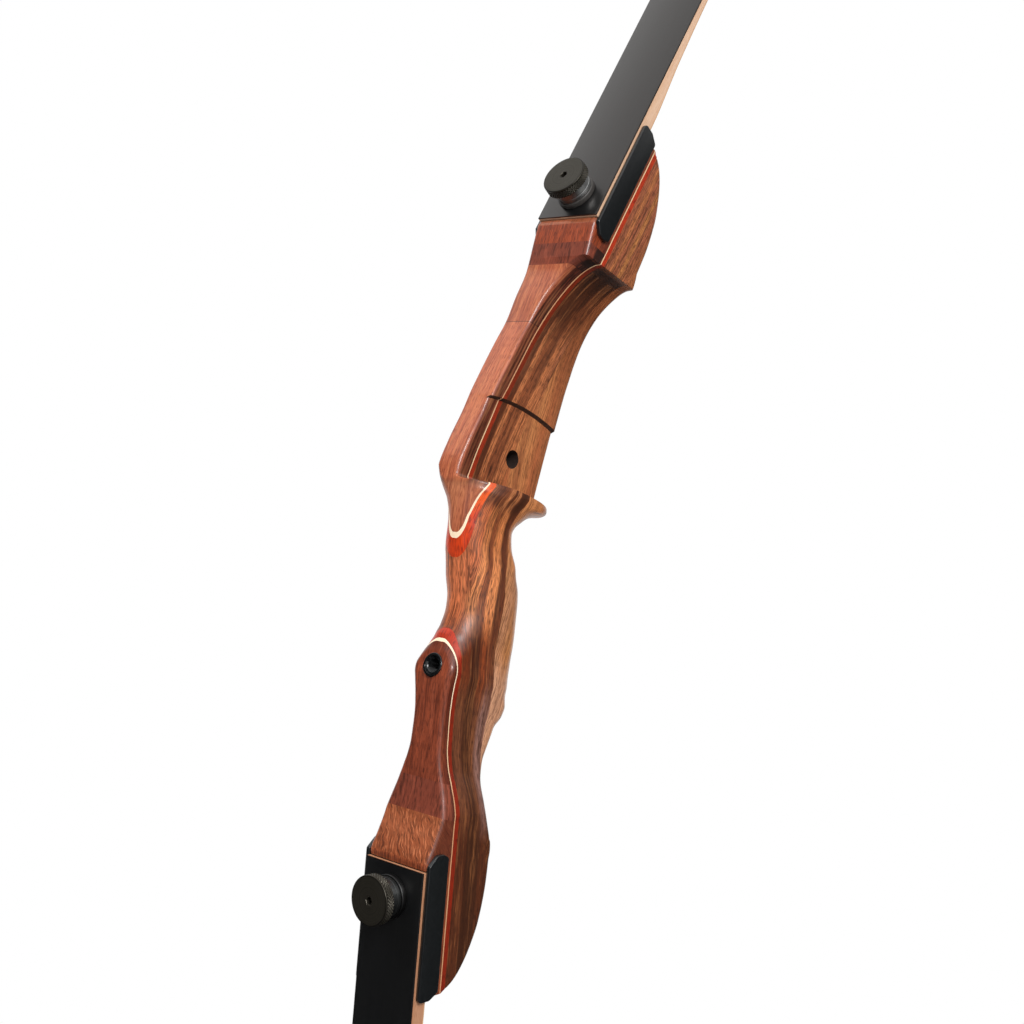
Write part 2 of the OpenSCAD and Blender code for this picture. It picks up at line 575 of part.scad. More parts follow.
module nock_cuts(sign) {
    t = limb_len - nock_in;
    p = on_back(t);
    pocket(sign) translate([0, p[0], p[1]]) rotate([-turn_at(t), 0, 0]) for (hand = [-1, 1])
        translate([hand * (tip_w / 2 + 0.6), 0, 0]) rotate([-55, 0, 0])
            cylinder(h = 30, r = 1.7, center = true);
}
module limb_layer(sign, k, last) {
    difference() {
        pocket(sign) loft([for (t = limb_stations) if (t <= last)
            limb_ring(t, layer_top(k, t), layer_top(k + 1, t))]);
        pocket(sign) {
            translate([0, 0, bolt_s]) rod(bore_r, -1, butt_t + 1);
            if (k > 1) translate([0, 0, pin_s]) rod(pin_d / 2 + pin_play, pocket_d - pin_out - 0.5, butt_t + 1);
        }
        if (last >= limb_len) nock_cuts(sign);
    }
}
module tip_overlay(sign) {
    color(laminate) difference() {
        pocket(sign) loft([for (i = [0:11])
            limb_ring(tip_stations[i], -tip_t * (0.12 + 0.88 * sin(90 * min(1, i / 7))), 0)]);
        nock_cuts(sign);
    }
}
module upper_limb_back_glass() {
    color("#17191a") limb_layer(1, 0, limb_len);
}
module upper_limb_back_core() {
    color(core_wood) limb_layer(1, 1, limb_len);
}
module upper_limb_wedge() {
    color(core_wood) limb_layer(1, 2, wedge_len - 12);
}
module upper_limb_belly_core() {
    color(core_wood) limb_layer(1, 3, limb_len);
}
module upper_limb_belly_glass() {
    color(clear_glass) limb_layer(1, 4, limb_len);
}
module upper_tip_overlay() {
    tip_overlay(1);
}
module lower_limb_back_glass() {
    color("#17191a") limb_layer(-1, 0, limb_len);
}
module lower_limb_back_core() {
    color(core_wood) limb_layer(-1, 1, limb_len);
}
module lower_limb_wedge() {
    color(core_wood) limb_layer(-1, 2, wedge_len - 12);
}
module lower_limb_belly_core() {
    color(core_wood) limb_layer(-1, 3, limb_len);
}
module lower_limb_belly_glass() {
    color(clear_glass) limb_layer(-1, 4, limb_len);
}
module lower_tip_overlay() {
    tip_overlay(-1);
}

// Everything on a limb bolt turns on one axis, measured out from the back of the limb.
module on_bolt(sign) {
    pocket(sign) translate([0, 0, bolt_s]) rotate([90, 0, 0]) children();
}
module rubber_washer(sign) {
    color("#101010") on_bolt(sign) difference() {
        cylinder(h = rubber_t, r = rubber_d / 2);
        translate([0, 0, -1]) cylinder(h = rubber_t + 2, r = bore_r);
    }
}
module collar(sign) {
    color(steel) on_bolt(sign) difference() {
        rotate_extrude() polygon([
            [0, rubber_t], [collar_d / 2, rubber_t], [collar_d / 2, rubber_t + collar_t - 1],
            [collar_d / 2 - 1, rubber_t + collar_t], [0, rubber_t + collar_t]
        ]);
        translate([0, 0, rubber_t - 1]) cylinder(h = collar_t + 2, r = bore_r);
    }
}
knob_z = rubber_t + collar_t;
neck_t = 0.9;                                     // height of the neck between collar and knob
neck_r = collar_d / 2 - 2.5;
shank_in = butt_t + bushing_len - 4.5;            // how deep the bolt reaches below the limb's back
module limb_bolt(sign) {
    top = knob_z + neck_t + knob_t;
    color(steel_dark) on_bolt(sign) difference() {
        rotate_extrude() polygon([
            [0, -shank_in], [shank_r - 1, -shank_in], [shank_r, -shank_in + 1], [shank_r, knob_z],
            [neck_r, knob_z], [neck_r, knob_z + neck_t], [knob_d / 2 - 0.6, knob_z + neck_t],
            [knob_d / 2, knob_z + neck_t + 0.6], [knob_d / 2, top - 0.6], [knob_d / 2 - 0.6, top], [0, top]
        ]);
        translate([0, 0, top - 4]) cylinder(h = 5, r = 2.9, $fn = 6);
        translate([0, 0, top - 0.8]) cylinder(h = 2, r = 3.2);
    }
}
module upper_rubber_washer() {
    rubber_washer(1);
}
module lower_rubber_washer() {
    rubber_washer(-1);
}
module upper_collar() {
    collar(1);
}
module lower_collar() {
    collar(-1);
}
module upper_limb_bolt() {
    limb_bolt(1);
}
module lower_limb_bolt() {
    limb_bolt(-1);
}

riser_core();
riser_belly_block();
upper_padauk_strip();
lower_padauk_strip();
upper_maple_strip();
lower_maple_strip();
upper_back_block();
upper_back_splice();
upper_back_band();
upper_back_inlay();
upper_pocket_block();
lower_back_block();
lower_back_band();
lower_back_inlay();
lower_pocket_block();
upper_left_plate();
upper_right_plate();
lower_left_plate();
lower_right_plate();
upper_limb_bushing();
lower_limb_bushing();
upper_locating_pin();
lower_locating_pin();
stabiliser_bushing();
upper_limb_back_glass();
upper_limb_back_core();
upper_limb_wedge();
upper_limb_belly_core();
upper_limb_belly_glass();
upper_tip_overlay();
upper_rubber_washer();
upper_collar();
upper_limb_bolt();
lower_limb_back_glass();
lower_limb_back_core();
lower_limb_wedge();
lower_limb_belly_core();
lower_limb_belly_glass();
lower_tip_overlay();
lower_rubber_washer();
lower_collar();
lower_limb_bolt();
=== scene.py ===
# Looks of an unstrung takedown recurve bow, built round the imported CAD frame.
# Lengths in the dictionaries are millimetres; meshes are metres.
import bpy
import bmesh
import numpy as np
from functools import lru_cache
from math import acos, atan2, ceil, cos, floor, hypot, pi, radians, sin, sqrt, tan
from mathutils import Matrix, Vector


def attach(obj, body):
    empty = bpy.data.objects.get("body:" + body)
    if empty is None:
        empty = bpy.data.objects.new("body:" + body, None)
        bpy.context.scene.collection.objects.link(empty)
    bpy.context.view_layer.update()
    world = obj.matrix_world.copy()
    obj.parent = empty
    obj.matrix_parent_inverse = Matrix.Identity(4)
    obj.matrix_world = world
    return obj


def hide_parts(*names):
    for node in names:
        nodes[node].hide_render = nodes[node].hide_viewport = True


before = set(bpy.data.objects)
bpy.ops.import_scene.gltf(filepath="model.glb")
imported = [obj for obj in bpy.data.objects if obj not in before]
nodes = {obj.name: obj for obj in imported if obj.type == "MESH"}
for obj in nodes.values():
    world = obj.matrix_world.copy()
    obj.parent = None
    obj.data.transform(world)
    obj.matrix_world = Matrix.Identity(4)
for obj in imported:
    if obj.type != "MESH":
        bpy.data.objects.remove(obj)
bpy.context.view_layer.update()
print("frame loaded,", len(nodes), "nodes")

# shape rules of the riser: the same curves as the solids
riser = {
    "seat": 192.8, "throat": 19.0, "angle": 15.0, "width": 44.6, "pocket": 70.0, "grip": 27.0, "boss": 31.0,
    "maple": 0.8, "padauk": 3.2, "coreBlock": 25.5, "shelf": 20.3, "crown": 2.2, "windowCut": 3.0,
    "restStep": 2.3, "restStepUp": 51.0, "restHole": 11.0, "restHoleUp": 24.7, "restHoleBack": 15.0,
    "bossDown": 84.0, "bossFace": -11.2, "limbThick": 10.5, "seatPlay": 0.02, "footRound": 3.0,
    "shelfRound": 0.7, "feather": 0.05, "wallLean": 0.4, "shelfLip": 0.6, "creaseDown": 24.3, "flareDown": 6.5,
    "rampLong": 58.5, "pocketWood": 10.5, "thumbRest": 6.7,
}
crown = {"high": riser["crown"], "middle": 10, "half": 34, "reach": 14, "fade": 13.4}  # the arrow shelf's rise
arch = {"high": 3.6, "middle": 14, "half": 33, "fade": 9}                # the arched top of the rest recess
seat, throat, shelf, bossDown = riser["seat"], riser["throat"], riser["shelf"], riser["bossDown"]
halfSide = riser["width"] / 2
crease = seat - riser["creaseDown"]
lowerFlare = crease - riser["flareDown"]
rampFoot = crease - riser["rampLong"]
thumbRest = shelf + riser["thumbRest"]            # above it the far side is flat
restTop = shelf + riser["restStepUp"]
pocketFloor = riser["limbThick"] + riser["seatPlay"]
glueFloor = pocketFloor + riser["pocketWood"]
coreDepth = riser["maple"] + riser["padauk"]
blockDepth = coreDepth + riser["coreBlock"]
wallX, recessX = -riser["windowCut"], -riser["windowCut"] - riser["restStep"]
gripHalf, waist, boss = riser["grip"] / 2, riser["grip"] / 2 - 2.1, riser["boss"] / 2 - 0.9


def up(share):
    return shelf + (crease - shelf) * share


def down(share):
    return -(bossDown + (crease - bossDown) * share)


backLine = [
    [-seat, 2.4], [-(seat - 3.5), 1.2], [-(seat - 13), 3], [down(0.96), 4.6], [down(0.84), 3.8],
    [down(0.65), 0.7], [down(0.32), -5.1], [-bossDown - 8, -10.4], [-bossDown - 4, -11.2],
    [-bossDown + 7, -11.2], [-bossDown + 12, -10.5], [-bossDown + 18, -9.4], [-60, -7.4], [-52, -6.4],
    [-44, -7.7], [-34, -11.8], [-26, -15], [-15, -19.8], [-8, -22], [0, -23.8], [10, -25.6],
    [shelf - 0.3, -27], [thumbRest, -27.4], [up(0.15), -25], [up(0.28), -20.3], [up(0.37), -17.8],
    [up(0.46), -14.6], [up(0.6), -9], [up(0.71), -4.2], [up(0.81), -2], [up(0.95), 1.5], [seat - 13, 0.9],
    [seat - 3.5, 0.7], [seat, 2]]
glueArm = [
    [up(0.12), -16.4], [up(0.24), -13.1], [up(0.35), -9.8], [up(0.43), -6.8], [up(0.55), -1.8],
    [up(0.73), 5.6], [up(0.85), 10.2], [crease, glueFloor - 5.7], [seat - 13, glueFloor - 3.1],
    [seat, glueFloor]]
upperGlue = [[0, -22], [13, -21.3], [shelf + 1.7, -18.5]] + glueArm
lowerGlue = [[0, -22], [14, -21.1], [23, -20.2]] + glueArm
pocketBelly = [
    [0, 54.5], [13.3, 53.8], [34.3, 50.2], [49.7, 44], [58.8, 38.4], [65.1, 32.5], [70, glueFloor + 3]]
bellyLine = [
    [-seat, 54.5], [-(seat - 13), 52.2], [-crease, 49.5], [down(0.91), 46], [down(0.78), 41.5],
    [down(0.66), 39], [down(0.52), 39.5], [down(0.4), 40.3], [down(0.3), 41.2], [down(0.2), 44.3],
    [-bossDown - 11, 44.3], [-bossDown - 2, 44], [-65, throat + 24.4], [-45, throat + 19.3],
    [-33, throat + 14.9], [-18, throat + 3.5], [-7, throat + 1], [0, throat], [4, throat + 1],
    [8, throat + 3.6], [12, throat + 8], [15, throat + 14], [shelf - 3, 40], [shelf - 1.5, 42],
    [shelf, 42.6]]
windowBelly = [
    [shelf + 0.6, 44.6], [up(0.22), 44.4], [up(0.38), 44.6], [up(0.5), 45], [up(0.63), 46.4],
    [up(0.75), 47.4], [up(0.87), 49.4], [up(0.96), 52], [crease, 52.6], [seat - 13, 53.4], [seat, 54.5]]
lowerHalf = [
    [-lowerFlare, halfSide], [down(0.84), halfSide - 1.7], [down(0.73), halfSide - 5],
    [down(0.6), waist + 1.7], [down(0.49), waist + 0.2], [down(0.33), waist], [down(0.19), waist + 0.7],
    [-bossDown - 8, boss - 1.3], [-bossDown - 1, boss], [-bossDown + 6, boss - 0.6], [-65, gripHalf + 0.3],
    [-45, gripHalf + 0.3]]
leftHalf = lowerHalf + [
    [-20, gripHalf + 0.1], [-5, gripHalf], [3, gripHalf + 0.5], [9, gripHalf + 1.9], [13, gripHalf + 3.7],
    [shelf - 3.8, halfSide - 3.3], [shelf, halfSide - 2.7]]
rightHalf = lowerHalf + [
    [-30, gripHalf + 1.5], [-20, gripHalf + 1.5], [-5, gripHalf + 0.5], [3, gripHalf + 1.5],
    [9, gripHalf + 3.5], [15, halfSide - 2.7], [shelf + 0.7, halfSide - 0.7], [thumbRest, halfSide]]
bossRound = [
    [-crease, 2.5], [-bossDown - 11, 3], [-bossDown, 3.5], [-bossDown + 4, 5.5], [-bossDown + 8, 8.5],
    [-bossDown + 12, 11], [-66, 13.5]]
backLeftRound = bossRound + [[-20, 13.5], [-10, 16], [8, 18], [14, 23], [shelf, 28]]
backRightRound = bossRound + [[-10, 13.5], [8, 13], [shelf - 2.3, 8], [thumbRest, 2.5]]
heelRound = [
    [-crease, 2.5], [down(0.66), 3.5], [down(0.33), 5], [-105, 7.2], [-97, 7.2], [-87, 12.6], [-80, 13.4],
    [-67, 14.9], [-56, 16.2], [-43, 16.2], [-33, 14.9], [-27, 13.1], [-20, 11.5], [-10, 14.5], [-2, 14]]
bellyLeftRound = heelRound + [[8, 14], [14, 18], [shelf, 21]]
bellyRightRound = heelRound + [[8, 13], [shelf, 9], [shelf + 9.7, 4], [crease, 2.5]]
palmSwell = [
    [down(0.49), 0], [down(0.3), 1.8], [-bossDown - 13, 3.5], [-bossDown - 5, 3], [-bossDown + 4, 2.8],
    [-67, 2.5], [-56, 3.4], [-37, 4.4], [-18, 3.2], [-7, 1.2], [0, 0.3], [3, 0]]
palmDepth = [[-33, 1.2], [-25, 1], [-18, 0.72], [-7, 1], [0, 1.2]]


def smooth(knots, h):
    # a curve through the knots that never overshoots them
    last = len(knots) - 1
    if h <= knots[0][0]:
        return knots[0][1]
    if h >= knots[last][0]:
        return knots[last][1]

    def slope(j):
        return (knots[j + 1][1] - knots[j][1]) / (knots[j + 1][0] - knots[j][0])

    def tangent(j):
        if j in (0, last):
            return slope(min(j, last - 1))
        a, b = slope(j - 1), slope(j)
        return 0 if a * b <= 0 else 2 * a * b / (a + b)

    i = max(j for j in range(last) if knots[j][0] <= h)
    w = knots[i + 1][0] - knots[i][0]
    t = (h - knots[i][0]) / w
    return ((1 + 2 * t) * (1 - t) ** 2 * knots[i][1] + t * (1 - t) ** 2 * w * tangent(i)
            + t * t * (3 - 2 * t) * knots[i + 1][1] + t * t * (t - 1) * w * tangent(i + 1))


def lean(h):
    return riser["angle"] * min(1, max(0, (abs(h) - crease) / (seat - crease)))


def inPocket(h):
    return abs(h) >= seat + riser["wallLean"] / 2


def aboveShelf(h):
    return h > shelf + riser["shelfLip"] / 2


@lru_cache(None)
def backAt(h):
    return pocketFloor if inPocket(h) else smooth(backLine, h)


@lru_cache(None)
def glueAt(h):
    return smooth(lowerGlue if h < 0 else upperGlue, abs(h))


@lru_cache(None)
def bellyAt(h):
    if abs(h) >= seat:
        return smooth(pocketBelly, abs(h) - seat)
    return smooth(windowBelly if aboveShelf(h) else bellyLine, h)


def windowWall(h):
    # the wall that the sight window leaves, from the recess over the arrow shelf to the ramp
    if h > rampFoot:
        return wallX + (halfSide - wallX) * (1 - sqrt(max(0, 1 - ((h - rampFoot) / riser["rampLong"]) ** 2)))
    if h > restTop + 0.5:
        return wallX
    rise, r = h - shelf - riser["shelfLip"], riser["footRound"]
    return recessX + (0 if rise > r else r - sqrt(max(0, r * r - (r - rise) ** 2)))


def leftAt(h):
    if h > crease or h < -lowerFlare:
        return halfSide
    if aboveShelf(h):
        return windowWall(h)
    r = riser["shelfRound"]
    over = max(0, h - shelf + r)
    return smooth(leftHalf, h) - (r - sqrt(max(0, r * r - over * over)))


def rightAt(h):
    return halfSide if h > thumbRest or h < -lowerFlare else smooth(rightHalf, h)


@lru_cache(None)
def level(h):
    pocket = inPocket(h)
    return {
        "h": h, "back": backAt(h), "belly": bellyAt(h), "glue": glueAt(h),
        "half": (leftAt(h), rightAt(h)),
        "backRound": (0 if pocket else 2.5 if aboveShelf(h) else smooth(backLeftRound, h),
                      0 if pocket else 2.5 if h > thumbRest else smooth(backRightRound, h)),
        "bellyRound": (2.5 if aboveShelf(h) else smooth(bellyLeftRound, h), smooth(bellyRightRound, h)),
        "swell": smooth(palmSwell, h), "palm": smooth(palmDepth, h)}


def flank(h, d, half):
    # the crease above the lower pocket runs in an arc over the side
    fade = min(1, max(0, (down(0.64) - h) / 20))
    return smooth(lowerHalf, h + fade * (12 * ((d - 24) / 24) ** 2 - 4.2)) if fade > 0 and h > -seat else half


def sideAt(lv, d, k):
    # half width at depth d on the window's side (k = 0) or the far side (k = 1)
    def corner(u):
        return 1 - sqrt(max(0, 1 - (1 - max(0, u)) ** 2))
    depth = lv["belly"] - lv["back"]
    room = sum(lv["half"]) / 2 - 0.4
    backR, bellyR = lv["backRound"][k], lv["bellyRound"][k]
    stretch = 1.05 + (0.2 * min(1, max(0, (lv["h"] + 6) / 12)) if k == 0 else 0)
    br, bd = min(backR, room), min(backR * stretch, depth * 0.45)
    fr = min(bellyR, room + lv["swell"] + 0.8)
    fd = min(fr * lv["palm"], depth * 0.5)
    t = min(1, max(0, (d - lv["glue"] - coreDepth - 6) / (riser["coreBlock"] - 3)))
    x = flank(lv["h"], d, lv["half"][k]) + lv["swell"] * t * t * (3 - 2 * t)
    if backR > 0 and d < lv["back"] + bd:
        x -= br * corner((d - lv["back"]) / bd)
    if d > lv["belly"] - fd:
        x -= fr * corner((lv["belly"] - d) / fd)
    return x if k == 0 else -x


def place(h, x, d):
    # the arrow shelf is crowned and the top of the rest recess is arched
    lift = 0
    if shelf - 0.1 < h < shelf + crown["reach"]:
        lift = (crown["high"] * (1 - ((d - crown["middle"]) / crown["half"]) ** 2)
                * min(1, (shelf + crown["reach"] - h) / crown["fade"]))
    elif h > 0:
        lift = (arch["high"] * (1 - ((d - arch["middle"]) / arch["half"]) ** 2)
                * max(0, 1 - max(0, abs(h - restTop - 0.5) - 0.5) / arch["fade"]))
    s, a = max(0, abs(h) - seat), radians(lean(h))
    z = min(abs(h), seat) + s * cos(a) - d * sin(a) + lift
    return (x / 1000, (s * sin(a) + d * cos(a) - throat) / 1000, (-z if h < 0 else z) / 1000)


def grainSpace(points):
    # depth behind the glue line, distance across and distance along, in mm, for points on the riser
    x, y, z = (np.asarray(points) * 1000).T
    y = y + throat
    sign, z = np.where(z < 0, -1, 1), np.abs(z)
    h, d = z.copy(), y.copy()
    for _ in range(8):
        a = np.radians(riser["angle"] * np.clip((h - crease) / (seat - crease), 0, 1))
        s = np.clip(h - seat, 0, None)
        d = (y - s * np.sin(a)) / np.cos(a)
        h = np.where(h > seat, seat + (z - seat + d * np.sin(a)) / np.cos(a), z + d * np.sin(a))
    knots = np.linspace(0, seat, 400)
    return np.stack([d - np.interp(h, knots, [glueAt(k) for k in knots]), x, sign * h], 1)


# mesh helpers
def linear(hexColour):
    parts = [int(hexColour[i:i + 2], 16) / 255 for i in (1, 3, 5)]
    return (*[v / 12.92 if v <= 0.04045 else ((v + 0.055) / 1.055) ** 2.4 for v in parts], 1.0)


def linked(name, data):
    obj = bpy.data.objects.new(name, data)
    bpy.context.collection.objects.link(obj)
    return obj


def newPiece(name, verts, faces):
    mesh = bpy.data.meshes.new(name)
    mesh.from_pydata([tuple(v) for v in verts], [], faces)
    obj = linked(name, mesh)
    bm = bmesh.new()
    bm.from_mesh(mesh)
    bmesh.ops.recalc_face_normals(bm, faces=bm.faces)
    bm.to_mesh(mesh)
    bm.free()
    return obj


def applied(obj, *modifiers):
    # adds each modifier with its settings, bakes the result into the mesh and takes the modifiers off
    for kind, settings in modifiers:
        mod = obj.modifiers.new(kind.lower(), kind)
        for key, value in settings.items():
            setattr(mod, key, value)
    mesh = bpy.data.meshes.new_from_object(obj.evaluated_get(bpy.context.evaluated_depsgraph_get()))
    obj.modifiers.clear()
    obj.data = mesh
    return obj


def cut(obj, cutters):
    if cutters:
        rule = {"operation": "DIFFERENCE", "solver": "MANIFOLD"}
        applied(obj, *[("BOOLEAN", {**rule, "object": cutter}) for cutter in cutters])
    return obj


def finish(obj, node, body, material, angle=30):
    # smooth shading with sharp corners, then the piece takes its node's place
    obj.data.materials.clear()
    obj.data.materials.append(material)
    obj.data.shade_smooth()
    obj.data.set_sharp_from_angle(angle=radians(angle))
    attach(obj, body)
    if node:
        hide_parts(node)
    return obj


def storeGrain(obj, values):
    # the wood's own axes for each point, and how far the surface there faces sideways
    attr = obj.data.attributes.new("grain", "FLOAT_VECTOR", "POINT")
    attr.data.foreach_set("vector", np.asarray(values, np.float32).ravel())
    attr = obj.data.attributes.new("facing", "FLOAT", "POINT")
    attr.data.foreach_set("value", [abs(v.normal.x) for v in obj.data.vertices])


def coords(mesh):
    co = np.empty(len(mesh.vertices) * 3)
    mesh.vertices.foreach_get("co", co)
    return co.reshape(-1, 3)


def loft(name, rings):
    n, m = len(rings[0]), len(rings)
    faces = [[i * n + j, i * n + (j + 1) % n, (i + 1) * n + (j + 1) % n, (i + 1) * n + j]
             for i in range(m - 1) for j in range(n)]
    faces += [list(range(n))[::-1], list(range((m - 1) * n, m * n))]
    return newPiece(name, [p for r in rings for p in r], faces)


def lathe(name, profile, sides=96, closed=True):
    # a profile of (radius, height) turned round Z; radius 0 closes at the axis
    verts, faces, rows = [], [], []
    for r, z in profile:
        if r == 0:
            rows.append([len(verts)])
            verts.append((0, 0, z / 1000))
        else:
            rows.append(list(range(len(verts), len(verts) + sides)))
            verts += [(r * cos(2 * pi * k / sides) / 1000, r * sin(2 * pi * k / sides) / 1000, z / 1000)
                      for k in range(sides)]
    pairs = list(zip(rows, rows[1:]))
    if closed:
        pairs.append((rows[-1], rows[0]))
    for a, b in pairs:
        if len(a) == 1 and len(b) == 1:
            continue
        for k in range(sides):
            q = (k + 1) % sides
            if len(a) == 1:
                faces.append([a[0], b[k], b[q]])
            elif len(b) == 1:
                faces.append([a[k], a[q], b[0]])
            else:
                faces.append([a[k], a[q], b[q], b[k]])
    return newPiece(name, verts, faces)


def rod(name, radius, start, end, matrix, sides=64):
    obj = lathe(name, [(0, start), (radius, start), (radius, end), (0, end)], sides, closed=False)
    obj.data.transform(matrix)
    return obj


def pocketMatrix(sign):
    # the frame of a limb pocket: X across, Y into the wood, Z along the limb from its butt
    a = radians(riser["angle"])
    m = Matrix(((1, 0, 0, 0), (0, cos(a), sin(a), -throat / 1000),
                (0, -sin(a), cos(a), seat / 1000), (0, 0, 0, 1)))
    return m if sign > 0 else Matrix.Diagonal((1, 1, -1, 1)) @ m


def boltMatrix(sign):
    # Z runs out of the limb's back along the bolt, zero on the back itself
    a = radians(riser["angle"])
    at = pocketMatrix(sign) @ Vector((0, 0, bolt["in"] / 1000))
    x, y, z = (sign, 0, 0), (0, sin(a), sign * cos(a)), (0, -cos(a), sign * sin(a))
    return Matrix.Translation(at) @ Matrix((x, y, z)).transposed().to_4x4()


# materials: each starts from what the real finish is
def add(tree, kind, *values, stops=(), **settings):
    # one node, its operation named after its kind, with its settings and its inputs in order, None where an
    # input keeps its own value; hands back the first output in use
    kind, _, operation = kind.partition(" ")
    node = tree.nodes.new(kind if "Node" in kind else "ShaderNode" + kind)
    if operation:
        node.operation = operation
    for key, value in settings.items():
        setattr(node, key, value)
    for socket, value in zip([s for s in node.inputs if s.enabled], values):
        if isinstance(value, bpy.types.NodeSocket):
            tree.links.new(value, socket)
        elif value is not None:
            socket.default_value = value
    if stops:
        ramp = node.color_ramp
        while len(ramp.elements) < len(stops):
            ramp.elements.new(0.5)
        for element, (at, colour) in zip(ramp.elements, stops):
            element.position = at
            element.color = linear(colour)
    return next((s for s in node.outputs if s.enabled), node)


def newMaterial(name, **settings):
    mat = bpy.data.materials.new(name)
    mat.use_nodes = True
    tree = mat.node_tree
    tree.nodes.clear()
    shader = add(tree, "BsdfPrincipled").node
    for key, value in settings.items():
        shader.inputs[key.replace("_", " ")].default_value = value
    add(tree, "OutputMaterial", shader.outputs[0])
    return mat, tree, shader.inputs


def dress(tree, shader, colour, relief, strength, depth, invert=False):
    # the finished colour, and the relief that the light catches
    tree.links.new(colour, shader["Base Color"])
    tree.links.new(add(tree, "Bump", strength, depth, None, relief, invert=invert), shader["Normal"])


# what a wood has where its own settings say nothing; swing is the size in mm of the board's wander across,
# through and along, and the pores are drawn a little wider than real ones so that they show
plainWood = {
    "rough": 0.45, "level": 0.35, "coat": 0.34, "coatRough": 0.15, "coatBend": 1.5, "slant": 0.0,
    "tilt": 0.0, "swing": (16, 22, 55), "seed": 0.0, "wander": 1.5, "knots": (), "knotColour": "#24120b",
    "turnsAt": (0.58, 0.62), "flankShare": 0.75, "poreWide": 0.42, "poreLong": 4.2, "poreFrom": 0.56,
    "poreTo": 0.64, "pores": 0.6, "poreColour": "#2e170d", "poreDeep": 0.0002, "seams": (),
    "seamColour": "#2a140d", "seamShare": 0.75,
}


# Walnut and padauk under thin satin lacquer: streaks that follow the boards, darker pores as fine dashes,
# a soft broad highlight from the wood and a thinner clear one from the lacquer.
def lacqueredWood(name, own):
    wood = {**plainWood, **own}
    mat, tree, shader = newMaterial(
        name, Roughness=wood["rough"], Specular_IOR_Level=wood["level"], Coat_Weight=wood["coat"],
        Coat_Roughness=wood["coatRough"], Coat_IOR=wood["coatBend"])
    grain = add(tree, "Attribute", attribute_name="grain").node.outputs["Vector"]
    through, sideways, height = add(tree, "SeparateXYZ", grain).node.outputs
    steep = add(tree, "Math ABSOLUTE", height)
    slanted = add(tree, "Math MULTIPLY_ADD", steep, wood["slant"], through)
    slanted = add(tree, "Math MULTIPLY_ADD", height, wood["tilt"], slanted)
    bent = add(tree, "VectorMath MULTIPLY", grain, [1 / v for v in wood["swing"]])
    bent = add(tree, "VectorMath", bent, (wood["seed"], 3.1, 5.7))
    most = wood["wander"]
    wander = add(tree, "MapRange", add(tree, "TexNoise", bent, 1.0, 1.5), 0.25, 0.75, -most, most)
    across = add(tree, "Math", slanted, wander)
    # a face that looks forwards shows the streaks side by side, a face that looks sideways one behind another
    beside = add(tree, "Math MULTIPLY_ADD", height, wood["tilt"], sideways)
    beside = add(tree, "Math", beside, wander)
    facing = add(tree, "Attribute", attribute_name="facing").node.outputs["Fac"]
    side = add(tree, "MapRange", facing, *wood["turnsAt"])
    apart = add(tree, "Math SUBTRACT", across, beside)
    apart = add(tree, "Math MULTIPLY_ADD", side, apart, beside)
    flat = add(tree, "CombineXYZ", apart, None, height)
    for start, blend, bands in wood["zones"]:
        low, high = bands[0][1], bands[-1][-1]
        stops = [((at - low) / (high - low), wood["tones"][tone]) for tone, *ends in bands for at in ends]
        tones = add(tree, "ValToRGB", add(tree, "MapRange", across, low, high), stops=stops)
        if start is None:
            colour = tones
        else:
            part = add(tree, "MapRange", height, start, start + blend, interpolation_type="SMOOTHSTEP")
            colour = add(tree, "Mix", part, colour, tones, data_type="RGBA")
    over = []                                     # what lies over the bands: how much of which colour
    for q, h, wide, long in wood["knots"]:  # a small dark knot, drawn out along the grain
        off = add(tree, "CombineXYZ", across, None, height)
        off = add(tree, "VectorMath SUBTRACT", off, (q, 0, h))
        off = add(tree, "VectorMath MULTIPLY", off, (1 / wide, 1, 1 / long))
        off = add(tree, "VectorMath LENGTH", off)
        over.append((add(tree, "MapRange", off, 0.4, 1.3, 0.8, 0.0), wood["knotColour"]))
    # streaks: dark and light, a millimetre or so wide and some centimetres long
    for wide, long, seed, low, high, amount, tone, detail in wood["streaks"]:
        sized = add(tree, "VectorMath MULTIPLY", flat, (1 / wide, 1, 1 / long))
        sized = add(tree, "VectorMath", sized, (seed, seed * 0.7, 1.3))
        noise = add(tree, "TexNoise", sized, 1.0, detail, 0.6)
        over.append((add(tree, "MapRange", noise, low, high, 0.0, amount), tone))
    if "flank" in wood:                           # painted shade: faces that look sideways darken towards the flank colour
        over.append((add(tree, "Math MULTIPLY", side, wood["flankShare"]), wood["flank"]))
    sized = add(tree, "VectorMath MULTIPLY", flat, (1 / wood["poreWide"], 1, 1 / wood["poreLong"]))
    noise = add(tree, "TexNoise", sized, 1.0, 0.0)   # pores: open vessels that the lacquer fills
    pore = add(tree, "MapRange", noise, wood["poreFrom"], wood["poreTo"], 0.0, wood["pores"])
    over.append((pore, wood["poreColour"]))
    for at, thick in wood["seams"]:               # thin dark glue lines across the board
        off = add(tree, "Math ABSOLUTE", add(tree, "Math SUBTRACT", height, at))
        over.append((add(tree, "MapRange", off, thick / 2, thick, wood["seamShare"], 0.0), wood["seamColour"]))
    for fac, tone in over:
        colour = add(tree, "Mix", fac, colour, linear(tone), data_type="RGBA")
    dress(tree, shader, colour, pore, 0.05, wood["poreDeep"], invert=True)
    return mat
